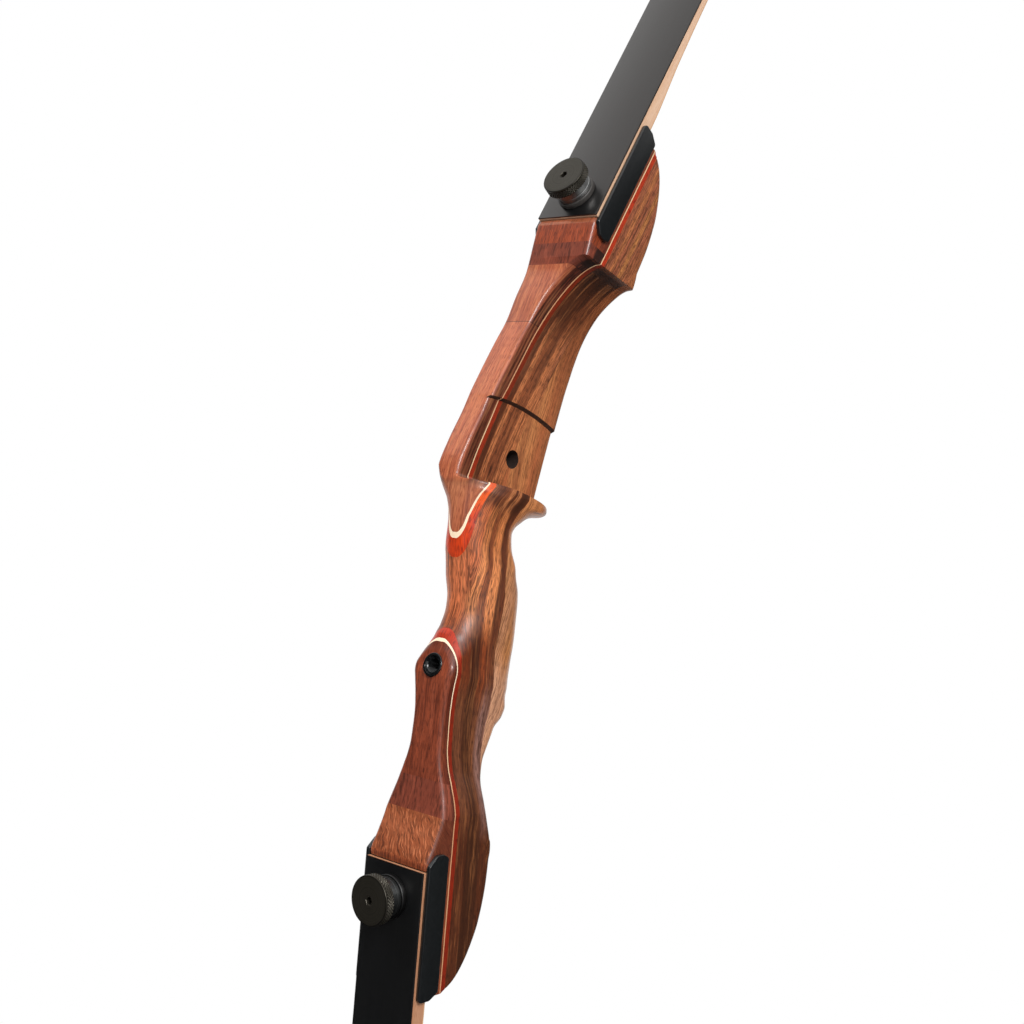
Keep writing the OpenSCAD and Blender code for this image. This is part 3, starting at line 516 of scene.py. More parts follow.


# the greyish tone used at the lower belly edge is a painted highlight
walnutTones = {
    "heart": "#40200e", "umber": "#4b2714", "dark": "#592b14", "brown": "#734127", "mid": "#8c5231",
    "rust": "#98583a", "light": "#a4623b", "gold": "#b6733f", "pale": "#cf8648", "tan": "#bb815c",
    "copper": "#b4663c", "honey": "#c8804c", "sienna": "#8e4d2b", "amber": "#bf7142", "haze": "#90675b",
    "ash": "#d09875", "russet": "#70381d", "ginger": "#894725", "fawn": "#c07545", "wood": "#6f2f11",
    "bark": "#3e1704", "nut": "#8a3e17", "hazel": "#9f562c", "bole": "#814828", "flesh": "#cf7144",
    "apricot": "#e28b52", "skin": "#bc6134", "peach": "#ce7942", "chestnut": "#a55b3b", "night": "#2c170c",
}
# a zone is (from height, blend length, bands), and a band is (tone, where it starts and ends in mm behind
# the glue line); a streak is (width, length in mm, seed, noise from, noise to, amount, colour, noise detail)
woods = {
    # the streaked board through the whole riser: bands by distance behind the glue line,
    # which change and fade along it
    "streaked_walnut": {
        "tones": walnutTones,
        "coatRough": 0.38, "wander": 0.6, "swing": (16, 22, 90), "pores": 0.62, "poreColour": "#33190e",
        "knots": [(19.3, 151, 1.6, 7), (16, 33, 1.2, 5)],
        "zones": [
            (None, 0, [("dark", 4, 11.5), ("heart", 12.8, 19.5), ("umber", 20.6, 23), ("dark", 24, 29.5)]),
            # below the grip the bands are lighter, partly as painted sheen, and the greyish tone at the belly
            # edge is a painted highlight
            (-175, 25, [("brown", 4, 11.5), ("umber", 13, 18.8), ("brown", 20, 22), ("haze", 24.5, 29.5)]),
            (-105, 25, [("wood", 4, 11.4), ("bark", 12.6, 17.6), ("nut", 18.4, 21.5), ("wood", 22.5),
                ("brown", 29.5)]),
            (-70, 28, [("flesh", 4, 9), ("apricot", 11, 13.5), ("ginger", 14.7, 17.5), ("apricot", 18.6, 23),
                ("dark", 24.2), ("russet", 29.5)]),
            (-22, 12, [("skin", 4, 9), ("peach", 11, 13.5), ("ginger", 14.7, 17.5), ("peach", 18.6, 23),
                ("dark", 24.2), ("russet", 29.5)]),
            (4, 9, [("russet", 4), ("dark", 9), ("ginger", 13.5), ("fawn", 14.4, 16.6), ("dark", 17.4, 18.8),
                ("fawn", 19.4, 21.4), ("dark", 22.2), ("heart", 26), ("dark", 29.5)]),
            (21, 12, [("dark", 4, 7.8), ("amber", 8.8, 11.6), ("sienna", 12.8, 20), ("amber", 21.2, 29.5)]),
            (75, 30, [("brown", 4, 8), ("amber", 9), ("light", 11.5), ("sienna", 12.8), ("brown", 20),
                ("amber", 21.5), ("rust", 29.5)]),
            (118, 22, [("dark", 4), ("umber", 12), ("dark", 20), ("russet", 22), ("dark", 29.5)]),
            # just under the ramp's crease the bands go nearly black: partly dark heartwood, partly painted
            # shade
            (148, 14, [("umber", 4), ("night", 9), ("heart", 15), ("night", 19), ("umber", 23),
                ("heart", 29.5)]),
            (167.5, 2, [("chestnut", 4), ("rust", 8), ("amber", 9.5), ("light", 12), ("chestnut", 13),
                ("rust", 17), ("gold", 18, 20.4), ("rust", 21.5), ("chestnut", 25), ("light", 29.5)])],
        "streaks": [(1.1, 34, 2, 0.5, 0.64, 0.6, "#341809", 2), (1.5, 40, 5, 0.54, 0.7, 0.32, "#bd7642", 2),
            (0.36, 12, 9, 0.48, 0.62, 0.6, "#3d1c0c", 1)]},
    # the belly board: lighter, with grain that runs out at a slant
    "golden_walnut": {
        "tones": walnutTones,
        "wander": 1, "pores": 0.45, "slant": 0.22, "seed": 4, "poreColour": "#3a1c0f",
        "zones": [
            (None, 0, [("dark", 20), ("umber", 50), ("dark", 96)]),
            (-150, 30, [("ash", 20, 96)]),
            (-85, 20, [("pale", 20), ("tan", 44), ("pale", 58), ("tan", 96)]),
            (-30, 30, [("copper", 20), ("honey", 36), ("copper", 96)]),
            (21, 4, [("light", 20), ("copper", 38), ("honey", 42), ("light", 47), ("honey", 52),
                ("copper", 60), ("light", 66), ("copper", 96)]),
            (70, 80, [("hazel", 20), ("bole", 60), ("hazel", 96)]),
            (167.5, 2, [("mid", 20, 66), ("light", 72), ("mid", 82), ("light", 90), ("mid", 96)])],
        "streaks": [(1.1, 34, 3, 0.5, 0.64, 0.3, "#341809", 2), (1.5, 40, 7, 0.54, 0.7, 0.32, "#bd7642", 2),
            (0.36, 12, 9, 0.48, 0.62, 0.5, "#3d1c0c", 1)]},
    # the front block of pinkish wood, dark where the window's wall cuts it: partly darker wood, partly painted
    # shade, nearly black under the ramp
    "salmon_walnut": {
        "tones": {"shade": "#3c1b0c", "dusk": "#743824", "salmon": "#a6593a", "pale": "#ab6b4c",
                  "rose": "#954e32", "night": "#1d0e0a"},
        "wander": 0.2, "poreColour": "#6a2f1f", "rough": 0.46, "swing": (10, 14, 60),
        "seams": [(124, 0.3)],
        "zones": [
            (None, 0, [("salmon", -14), ("pale", -6), ("salmon", 0)]),
            (14, 7, [("pale", -14), ("salmon", -10, -7.8), ("dusk", -7), ("shade", -6.2, 0)]),
            (123.5, 1, [("salmon", -14), ("rose", -10, -7.8), ("shade", -7), ("night", -6.2, 0)])],
        "streaks": [(1.3, 34, 1, 0.5, 0.64, 0.62, "#6a2f1e", 2), (0.4, 9, 8, 0.5, 0.64, 0.5, "#6f3524", 2),
            (2.2, 50, 6, 0.47, 0.64, 0.36, "#c67c50", 2)]},
    # the dark bands of the glued front
    "dark_walnut": {
        "tones": {"deep": "#4b2117", "plum": "#713525", "light": "#85422e", "wine": "#652e1e",
                  "night": "#2b1712"},
        "pores": 0.4, "wander": 1.2,
        "zones": [
            (None, 0, [("plum", -24), ("light", -16), ("plum", -8), ("light", -3), ("deep", 0)]),
            (100, 5, [("wine", -24), ("plum", -12), ("wine", -9), ("night", -7, 0)])],
        "streaks": [(1.6, 9, 2, 0.5, 0.64, 0.65, "#2c140d", 2), (2.2, 12, 8, 0.55, 0.7, 0.4, "#9a4d36", 2)]},
    # the lower front block and the ends of the pockets: reddish, with long streaks
    "red_walnut": {
        "tones": {"deep": "#531f10", "red": "#70301c", "light": "#863e25", "orange": "#913f20",
                  "foot": "#944b2b"},
        "wander": 1.3, "poreColour": "#35140b",
        "zones": [
            (None, 0, [("foot", -24, 0)]),
            (-189, 1, [("red", -24, -12), ("light", -6), ("deep", 0)]),
            (150, 5, [("orange", -24, -9), ("light", -6), ("deep", 0)])],
        "streaks": [(1.4, 26, 2, 0.5, 0.64, 0.6, "#43190e", 2), (0.36, 12, 9, 0.48, 0.62, 0.6, "#4d1e11", 1),
            (2, 40, 4, 0.55, 0.72, 0.35, "#a5553a", 2)]},
    # the upper pocket's floor
    "orange_walnut": {
        "tones": {"red": "#7b3d24", "light": "#945032"},
        "pores": 0.4,
        "zones": [
            (None, 0, [("light", -24), ("red", 0)])],
        "streaks": [(1.2, 20, 2, 0.5, 0.64, 0.6, "#4f2212", 2)]},
    # figured wood: short cross waves and dark slanted flecks, with painted shade on its sideways faces
    "flame_walnut": {
        "tones": {"deep": "#692f1b", "orange": "#804023", "light": "#955132"},
        # the flank colour is painted shade on the board's sideways faces
        "pores": 0.5, "wander": 1.8, "swing": (9, 9, 12), "tilt": 0.5, "flank": "#5a2618",
        "zones": [
            (None, 0, [("orange", -110), ("light", -98), ("orange", -90), ("deep", -80), ("orange", -60)])],
        "streaks": [(0.8, 6, 2, 0.5, 0.62, 0.7, "#3c1c11", 3), (1, 6, 5.5, 0.52, 0.66, 0.6, "#cb7a50", 3)]},
    # padauk: plain orange-red wood with short dark pores; its tone along the riser is painted light and shade,
    # brightest round the grip and the shelf and again at the top, darker below the grip and up the ramp
    "padauk": {
        "tones": {"brick": "#842107", "ember": "#ad2c07", "coal": "#922206", "fire": "#a52908",
                  "flame": "#cc3d0b",
                  "blaze": "#dd540f", "red": "#912b0c", "wine": "#732409", "top": "#ae3110"},
        "poreColour": "#4a1008",
        "zones": [
            (None, 0, [("brick", 0, 5)]),
            (-84, 10, [("coal", 0), ("ember", 3), ("coal", 5)]),
            (-50, 6, [("fire", 0), ("flame", 3), ("fire", 5)]),
            (0, 10, [("blaze", 0, 5)]),
            (18, 8, [("red", 0, 5)]),
            (60, 30, [("wine", 0, 5)]),
            (167, 3, [("top", 0, 5)])],
        "streaks": [(0.5, 9, 3, 0.5, 0.72, 0.5, "#86240f", 2)]},
    # maple: pale and even, with only a trace of grain
    "maple": {
        "tones": {"cream": "#ecd5b7", "wheat": "#dfba92", "straw": "#c58f68"},
        "pores": 0.1, "poreColour": "#c9a878",
        "zones": [
            (None, 0, [("straw", -1, 2)]),
            (-152, 12, [("wheat", -1, 2)]),
            (-112, 12, [("cream", -1, 2)]),
            (18, 8, [("wheat", -1, 2)]),
            (50, 30, [("straw", -1, 2)]),
            (165, 3, [("wheat", -1, 2)])],
        "streaks": [(0.5, 20, 3, 0.5, 0.75, 0.3, "#dcc08e", 2)]},
    # the strips inside a limb, cut along the grain and sanded flush on the limb's edge
    "limb_maple": {
        "tones": {"tan": "#d4ac8c", "light": "#dab79b"},
        "pores": 0.18, "poreColour": "#a9764d", "coat": 0.3,
        "zones": [
            (None, 0, [("tan", 0), ("light", 5), ("tan", 11)])],
        "streaks": [(0.4, 24, 3, 0.5, 0.7, 0.5, "#bd8a66", 2)]},
    # the lower limb's strips take a darker, warmer copy of the maple
    "warm_limb_maple": {
        "tones": {"tan": "#b4805f", "light": "#b9896a"},
        "pores": 0.3, "poreColour": "#8a5233", "coat": 0.3,
        "zones": [
            (None, 0, [("tan", 0), ("light", 5), ("tan", 11)])],
        "streaks": [(0.4, 24, 3, 0.5, 0.7, 0.45, "#9a6342", 2)]},
    # clear glass laid over the last strip: the maple shows through
    "clear_fibreglass": {
        "tones": {"tan": "#cfa076", "light": "#d9ae86"},
        "pores": 0.12, "poreColour": "#a9764d", "rough": 0.3, "coat": 1,
        "zones": [
            (None, 0, [("tan", 0), ("light", 12)])],
        "streaks": [(1.6, 40, 3, 0.5, 0.75, 0.4, "#b98658", 2)]},
}
finishes = {name: lacqueredWood(name.replace("_", " ") + ", lacquered", wood) for name, wood in woods.items()}


# Fibreglass laid up with black resin: parallel rovings show as faint lengthwise lines in the polish.
def blackGlass(name, colour, fibre, rough):
    mat, tree, shader = newMaterial(name, Roughness=rough, Coat_Weight=0.3, Coat_Roughness=0.25,
                                    Specular_Tint=(1.0, 0.88, 0.8, 1.0))
    grain = add(tree, "Attribute", attribute_name="grain").node.outputs["Vector"]
    sized = add(tree, "VectorMath MULTIPLY", grain, (0.5, 1 / 0.5, 1 / 60))
    lines = add(tree, "TexNoise", sized, 1.0, 2.0)
    fac = add(tree, "MapRange", lines, 0.35, 0.75)
    mix = add(tree, "Mix", fac, linear(colour), linear(fibre), data_type="RGBA")
    dress(tree, shader, mix, lines, 0.05, 0.0001)
    return mat


# Turned parts: the tool leaves fine rings round the axis, read from the piece's own radius and height, and
# drawn some tenths of a millimetre apart so that they show.
def turned(name, colour, tint, rough, metallic, pitch, depth, coat=0.0, groove=None):
    mat, tree, shader = newMaterial(name, Roughness=rough, Metallic=metallic, Coat_Weight=coat)
    grain = add(tree, "Attribute", attribute_name="grain").node.outputs["Vector"]
    radius, _, height = add(tree, "SeparateXYZ", grain).node.outputs
    along = add(tree, "Math", radius, height)
    rings = add(tree, "Math SINE", add(tree, "Math MULTIPLY", along, 2 * pi / pitch))
    chatter = add(tree, "Math MULTIPLY", along, 2.3)
    uneven = add(tree, "TexNoise", chatter, 1.0, 3.0, noise_dimensions="1D")
    fac = add(tree, "Math MULTIPLY_ADD", rings, 0.25, uneven)
    fac = add(tree, "MapRange", fac, 0.2, 0.9)
    mix = add(tree, "Mix", fac, linear(colour), linear(tint), data_type="RGBA")
    if groove:                                    # near black at the foot of the knurl, at the radius of its ground
        off = add(tree, "Math ABSOLUTE", add(tree, "Math SUBTRACT", radius, groove))
        off = add(tree, "MapRange", off, 0.08, 0.32)
        mix = add(tree, "Mix", off, linear("#0b0a08"), mix, data_type="RGBA")
    dress(tree, shader, mix, fac, depth, 0.0001)
    return mat


# Moulded or sawn black parts: a slight mottle and fine specks break the sheen.
def mottled(name, colour, tint, rough, size, coat=0.0, bump=0.1):
    mat, tree, shader = newMaterial(name, Roughness=rough, Coat_Weight=coat, Coat_Roughness=0.12)
    cloud = add(tree, "TexNoise", add(tree, "TexCoord").node.outputs["Object"], 1000 / size, 3.0)
    fac = add(tree, "MapRange", cloud, 0.35, 0.7)
    mix = add(tree, "Mix", fac, linear(colour), linear(tint), data_type="RGBA")
    dress(tree, shader, mix, cloud, bump, 0.0001)
    return mat


finishes.update({
    # painted shade: near-black finishes for the inside of the rest hole and the ledge's underside
    "bore_shade": mottled("walnut, painted shade inside the rest hole", "#1c0e07", "#2a160c", 0.8, 0.8),
    "ledge_shade": mottled("walnut, painted shade under the rest ledge", "#2c180d", "#452613", 0.7, 1.6),
    "black_fibreglass": blackGlass("black fibreglass, pressed and polished", "#0c0d0e", "#141516", 0.3),
    "black_plate": mottled("black fibre plate, sawn and polished", "#111314", "#191b1c", 0.32, 1.2, coat=0.35),
    # the washers' rubber in two copies: near black below as painted shade, lighter above as painted light
    "rubber": mottled("rubber, moulded", "#020202", "#060606", 0.4, 0.6, bump=0.2),
    "painted_lit_rubber": mottled("rubber, moulded, painted lighter where lit", "#2f2c2a", "#3b3835", 0.5, 0.6, bump=0.2),
    # the collars' steel in two copies: lighter above as painted light, darker below as painted shade
    "steel": turned("steel, turned", "#858687", "#b6b7b6", 0.42, 1.0, 0.4, 0.3),
    "painted_shade_steel": turned("steel, turned, painted darker as shade", "#434545", "#757777", 0.42, 1.0, 0.4, 0.3),
    "black_steel": turned("steel, blackened and oiled", "#0b0c0d", "#17191a", 0.22, 0.3, 0.5, 0.1, coat=0.6),
    "bronzed_knob": turned("aluminium, turned and anodised dark bronze", "#28251f", "#454138", 0.4, 0.7, 0.5,
                           0.35, groove=13.2),
    "brass": turned("brass, turned", "#8f7437", "#b8985a", 0.3, 1.0, 0.4, 0.2),
})
print("materials made,", len(finishes))

# limb bolts, bores and the stabiliser bushing
bolt = {
    "in": 18.0, "knob": 27.4, "knobThick": 6.2, "collar": 22.4, "collarThick": 6.9, "rubber": 24.2,
    "rubberThick": 3.5, "neck": 0.4, "thread": 7.94, "pitch": 25.4 / 24, "bushing": 12.0,
    "bushingLen": 24.0, "pin": 5.0, "pinIn": 50.0, "pinOut": 6.0, "pinDeep": 14.0, "fit": 0.05,
}
insert = {
    "rim": 13.7, "body": 11.0, "length": 22.0, "rimLet": 1.2, "thread": 7.94, "edge": 0.5, "dish": 1.5,
    "mouth": 0.3, "threadDeep": 0.4, "threadFrom": 0.8, "turns": 15, "end": 2.0,
}


def pocketBores(sign):
    m = pocketMatrix(sign)
    turnDown = Matrix.Rotation(radians(-90), 4, "X")
    boltHole = m @ Matrix.Translation((0, 0, bolt["in"] / 1000)) @ turnDown
    pinHole = m @ Matrix.Translation((0, 0, bolt["pinIn"] / 1000)) @ turnDown
    fit = bolt["fit"]
    return [rod("boltBore", bolt["bushing"] / 2 + fit, -1, pocketFloor + bolt["bushingLen"] + 1, boltHole),
            rod("pinBore", bolt["pin"] / 2 + fit, pocketFloor - 1, pocketFloor + bolt["pinDeep"], pinHole, 32)]


insertMatrix = (Matrix.Translation((0, (riser["bossFace"] - throat) / 1000, -bossDown / 1000))
                @ Matrix.Rotation(radians(-90), 4, "X"))
upperBores, lowerBores = pocketBores(1), pocketBores(-1)
fit = bolt["fit"]
insertBore = [rod("insertBore", insert["body"] / 2 + fit, -5, insert["length"] + fit, insertMatrix)]
rimBore = [rod("rimBore", insert["rim"] / 2 + fit, -5, insert["rimLet"] + fit, insertMatrix)]
restAt = (0, (riser["restHoleBack"] - throat) / 1000, (shelf + riser["restHoleUp"]) / 1000)
restMatrix = Matrix.Translation(restAt) @ Matrix.Rotation(radians(90), 4, "Y")
restBore = [rod("restBore", riser["restHole"] / 2, -40, 40, restMatrix)]

# the riser's woods, lofted through close sections
lo, hi = 0.0, riser["pocket"]                     # thinBelly: how far along a pocket the belly board runs out
for _ in range(40):
    thinBelly = (lo + hi) / 2
    if smooth(pocketBelly, thinBelly) > glueFloor + blockDepth + riser["feather"]:
        lo = thinBelly
    else:
        hi = thinBelly
jumps = [(shelf, shelf + 0.6), (restTop - 0.4, restTop + 1.1), (seat, seat + 0.4), (-seat - 0.4, -seat)]
curled = [(-76, -56), (-30, shelf - 2.1), (crease - 6, crease)]
hardHeights = sorted({v for j in jumps + curled for v in j} | {
    crease, -crease, rampFoot, seat - 3.5, -seat + 3.5, seat + thinBelly, -seat - thinBelly, shelf + 3.6})


lofting = {"step": 1.5, "nearShelf": 0.4, "inCurl": 0.5}  # how far apart the sections stand, in mm


def heights(a, b):
    marks = sorted({a, b} | {k for k in hardHeights if a < k < b})
    out = []
    for p, q in zip(marks, marks[1:]):
        near = shelf - 2.1 < p < shelf + 3.5 or shelf - 0.71 < q < shelf + 3.7
        step = lofting["nearShelf" if near and q - p < 4 else "step"]
        n = 1 if (p, q) in jumps else max(1, ceil((q - p) / step))
        if any(c <= p and q <= d for c, d in curled):  # the strips turn through a U here
            n = ceil((q - p) / lofting["inCurl"])
        out += [p + (q - p) * i / n for i in range(n)]
    return out + [b]


def section(h, top, bottom, n):
    lv = level(h)
    depths = [top + (bottom - top) * (1 - cos(pi * i / (n - 1))) / 2 for i in range(n)]
    return ([place(h, sideAt(lv, d, 0), d) for d in depths]
            + [place(h, sideAt(lv, d, 1), d) for d in reversed(depths)])


def crossing(off, a, b):
    # the height at which the back of the wood crosses a depth behind the glue line
    def cover(h):
        return smooth(backLine, h) - glueAt(h) - off
    for _ in range(30):
        m = (a + b) / 2
        a, b = (a, m) if cover(a) * cover(m) <= 0 else (m, b)
    return (a + b) / 2


def upperEnd(off):
    return crossing(off - riser["feather"], -bossDown + 30, 12)


def lowerEnd(off):
    return crossing(off - riser["feather"], -bossDown + 6, -bossDown + 30)


# painted shade: faces in the rest hole, and faces of the ledge that look down over the recess, take near-black
# finishes where the wood is unlit
unlit = {"boreReach": 0.02, "facesDown": -0.4, "ledgeNear": 7.0}


def board(node, slotName, a, b, layer, n, cutters):
    rings, (top, bottom) = [], layer
    for h in heights(a, b):
        end = bottom(h)
        rings.append(section(h, min(top(h), end - riser["feather"]), end, n))
    obj = cut(loft(node + "_board", rings), cutters)
    storeGrain(obj, grainSpace(coords(obj.data)))
    obj = finish(obj, node, "riser", finishes[slotName])
    # painted shade: faces in the rest hole and on the ledge's underside take the dark finishes
    if a < restTop < b:
        obj.data.materials.append(finishes["bore_shade"])
        obj.data.materials.append(finishes["ledge_shade"])
        axis, reach = restMatrix.translation * 1000, riser["restHole"] / 2 + unlit["boreReach"]
        for p in obj.data.polygons:
            c = p.center * 1000
            ledge = c.x < 0 and p.normal.z < unlit["facesDown"] and abs(c.z - restTop) < unlit["ledgeNear"]
            if hypot(c.y - axis.y, c.z - axis.z) < reach:
                p.material_index = 1
            elif slotName != "maple" and ledge:
                p.material_index = 2
    return obj


def between(start, end):
    # top and bottom of a layer that lies from start to end behind the glue line
    return lambda h: max(backAt(h), glueAt(h) + start), lambda h: min(bellyAt(h), glueAt(h) + end)


farEnd, coreEnd, bellyEnd = seat + riser["pocket"], seat + 0.985 * riser["pocket"], seat + thinBelly
bandH, inlayH, endH, spliceH, lowerBandH = crease - 5.3, seat - 16, seat - 4, up(0.7), down(0.72)
maple, padauk = between(0, riser["maple"]), between(riser["maple"], coreDepth)
core = between(coreDepth, blockDepth)
belly = (lambda h: glueAt(h) + blockDepth,
         lambda h: max(bellyAt(h), glueAt(h) + blockDepth + riser["feather"]))
face = (backAt, glueAt)
coreBores = upperBores + lowerBores + insertBore + restBore
boards = {  # slot, lowest and highest section, layer, points from a section's top to its bottom, bores
    "riser_core": ("streaked_walnut", -coreEnd, coreEnd, core, 15, coreBores),
    "riser_belly_block": ("golden_walnut", -bellyEnd, bellyEnd, belly, 14, restBore),
    "upper_padauk_strip": ("padauk", upperEnd(coreDepth), farEnd, padauk, 5, upperBores),
    "lower_padauk_strip": ("padauk", -farEnd, lowerEnd(coreDepth), padauk, 5, lowerBores + insertBore),
    "upper_maple_strip": ("maple", upperEnd(riser["maple"]), farEnd, maple, 5, upperBores),
    "lower_maple_strip": ("maple", -farEnd, lowerEnd(riser["maple"]), maple, 5, lowerBores + insertBore),
    "upper_back_block": ("salmon_walnut", upperEnd(0), spliceH, face, 14, []),
    "upper_back_splice": ("salmon_walnut", spliceH, bandH, face, 14, []),
    "upper_back_band": ("dark_walnut", bandH, inlayH, face, 14, []),
    "upper_back_inlay": ("red_walnut", inlayH, endH, face, 14, []),
    "upper_pocket_block": ("orange_walnut", endH, farEnd, face, 14, upperBores),
    "lower_back_block": ("red_walnut", lowerBandH, lowerEnd(0), face, 14, insertBore + rimBore),
    "lower_back_band": ("dark_walnut", -bandH, lowerBandH, face, 14, []),
    "lower_back_inlay": ("flame_walnut", -endH, -bandH, face, 14, []),
    "lower_pocket_block": ("red_walnut", -farEnd, -endH, face, 14, lowerBores),
}
for node, settings in boards.items():
    board(node, *settings)
for obj in coreBores + rimBore:
    bpy.data.objects.remove(obj)
print("riser boards lofted")

# cheek plates
plate = {"thick": 2.4, "front": 2.3, "wide": 14.9, "over": 4.0, "lowerOver": 1.0, "under": 8.4, "edge": 0.4,
         "shy": 1.9}


def roundedOutline(points, radii, steps=6):
    out = []
    for i, p in enumerate(points):
        p, a, b = (np.array(v, float) for v in (p, points[i - 1], points[(i + 1) % len(points)]))
        u, v = (a - p) / np.linalg.norm(a - p), (b - p) / np.linalg.norm(b - p)
        half = acos(u @ v) / 2
        c = p + (u + v) / np.linalg.norm(u + v) * radii[i] / sin(half)
        s, e = p + u * radii[i] / tan(half) - c, p + v * radii[i] / tan(half) - c
        t0, turn = atan2(s[1], s[0]), atan2(e[1], e[0]) - atan2(s[1], s[0])
        turn = (turn + pi) % (2 * pi) - pi
        out += [c + radii[i] * np.array([cos(t0 + turn * k / steps), sin(t0 + turn * k / steps)])
                for k in range(steps + 1)]
    return out


under, front = plate["under"], plate["front"]
rear = front + plate["wide"]
for sign, end, over in ((1, "upper", plate["over"]), (-1, "lower", plate["lowerOver"])):
    outer = riser["pocket"] + over
    corners = [(front, 5.6 - under), (front + 6, -under), (rear - 4, -under), (rear, 2.2 - under),
               (rear, outer - 3.5), (rear - 6.5, outer), (front, outer)]
    outline = roundedOutline(corners, [2, 3, 3, 2, 2, 3, 2.5])
    for hand, side in ((1, "left"), (-1, "right")):
        near, far = hand * halfSide, hand * (halfSide + plate["thick"])
        n = len(outline)
        shy = plate["shy"] if sign > 0 > hand else 0  # the upper far plate's nose stays behind the wood
        verts = [(x / 1000, max(d, front + shy) / 1000, s / 1000) for x in (near, far) for d, s in outline]
        faces = [list(range(n)), list(range(n, 2 * n))]
        faces += [[i, (i + 1) % n, n + (i + 1) % n, n + i] for i in range(n)]
        node = end + "_" + side + "_plate"
        obj = newPiece(node + "_cheek", verts, faces)
        applied(obj, ("BEVEL", {"width": plate["edge"] / 1000, "segments": 3, "limit_method": "ANGLE",
                                "angle_limit": radians(50)}))
        obj.data.transform(pocketMatrix(sign))
        if sign < 0:
            obj.data.flip_normals()
        finish(obj, node, "riser", finishes["black_plate"], 40)
print("cheek plates made")

# limbs: one Geometry Nodes tree lays every strip along the limb's back line
limb = {
    "wide": 44.0, "long": 569.0, "glass": 1.0, "core": 1.4, "coreTip": 0.9, "wedge": 240.0,
    "curlFrom": 372.0, "curl": 58.0, "reflex": 7.0, "bendFrom": 150.0, "tipWide": 15.0, "tipLong": 46.0,
    "tipThick": 3.0, "nockIn": 19.0, "nock": 1.7, "buttGap": 0.8, "wedgeEnd": 228.0, "step": 2.0,
    "edge": 0.35, "tipEdge": 0.77, "play": 0.35, "nockOut": 0.6, "nockLean": 55.0,
}


def share(t, a, b):
    return min(1, max(0, (t - a) / (b - a)))


def limbTurn(t):
    return radians(-limb["reflex"] * share(t, limb["bendFrom"], limb["long"]) ** 2
                   - limb["curl"] * share(t, limb["curlFrom"], limb["long"]) ** 1.5)


backCurve = [(0.0, 0.0)]                          # depth and length along, one point a millimetre
for i in range(int(limb["long"])):
    a = limbTurn(i + 0.5)
    backCurve.append((backCurve[-1][0] + sin(a), backCurve[-1][1] + cos(a)))


def onBack(t):
    i = min(len(backCurve) - 2, int(floor(t)))
    return tuple(p + (t - i) * (q - p) for p, q in zip(backCurve[i], backCurve[i + 1]))


wideKnots = [[0, limb["wide"]], [210, limb["wide"]], [330, limb["wide"] - 6], [450, limb["wide"] - 17],
             [limb["long"] - 40, limb["tipWide"] + 3], [limb["long"] - limb["nockIn"], limb["tipWide"]],
             [limb["long"] - 5, limb["tipWide"] - 2], [limb["long"], limb["tipWide"] - 5]]
wedgeThick = riser["limbThick"] - 2 * limb["glass"] - 2 * limb["core"]
wedgeKnots = [[0, wedgeThick], [78, wedgeThick], [0.55 * limb["wedge"], wedgeThick * 0.42],
              [0.76 * limb["wedge"], wedgeThick * 0.16], [limb["wedge"], 0]]


def backPath(name, start, end, step):
    # a chain of points along the back that carries each station's measures as attributes
    count = int(round((end - start) / step))
    stations = [start + (end - start) * i / count for i in range(count + 1)]
    mesh = bpy.data.meshes.new(name)
    mesh.from_pydata([(0, onBack(t)[0] / 1000, onBack(t)[1] / 1000) for t in stations],
                     [(i, i + 1) for i in range(count)], [])
    measures = {"along": lambda t: t, "halfWidth": lambda t: smooth(wideKnots, t) / 2,
                "coreThick": lambda t: limb["core"] + (limb["coreTip"] - limb["core"]) * share(
                    t, limb["wedge"], limb["long"]),
                "wedgeThick": lambda t: smooth(wedgeKnots, t),
                "rise": lambda t: limb["tipThick"] * (
                    0.12 + 0.88 * sin(pi / 2 * min(1, share(t, start, end) * 11 / 7)))}
    for key, measure in measures.items():
        mesh.attributes.new(key, "FLOAT", "POINT").data.foreach_set("value", [measure(t) for t in stations])
    normals = mesh.attributes.new("inwards", "FLOAT_VECTOR", "POINT")
    normals.data.foreach_set("vector", [v for t in stations for v in (0, cos(limbTurn(t)), -sin(limbTurn(t)))])
    return linked(name, mesh)


def newTree(name, inputs):
    tree = bpy.data.node_groups.new(name, "GeometryNodeTree")
    for label, kind in [("Geometry", "Geometry")] + inputs:
        tree.interface.new_socket(label, in_out="INPUT", socket_type="NodeSocket" + kind)
    tree.interface.new_socket("Geometry", in_out="OUTPUT", socket_type="NodeSocketGeometry")
    return tree, add(tree, "NodeGroupInput").node.outputs


def endTree(tree, made, material):
    whole = add(tree, "GeometryNodeRealizeInstances", made)
    add(tree, "NodeGroupOutput", add(tree, "GeometryNodeSetMaterial", whole, None, material))


def runTree(obj, tree, values):
    mod = obj.modifiers.new("build", "NODES")
    mod.node_group = tree
    idOf = {i.name: i.identifier for i in tree.interface.items_tree if i.in_out == "INPUT"}
    for label, value in values.items():
        mod[idOf[label]] = value
    bpy.context.view_layer.update()
    return applied(obj)


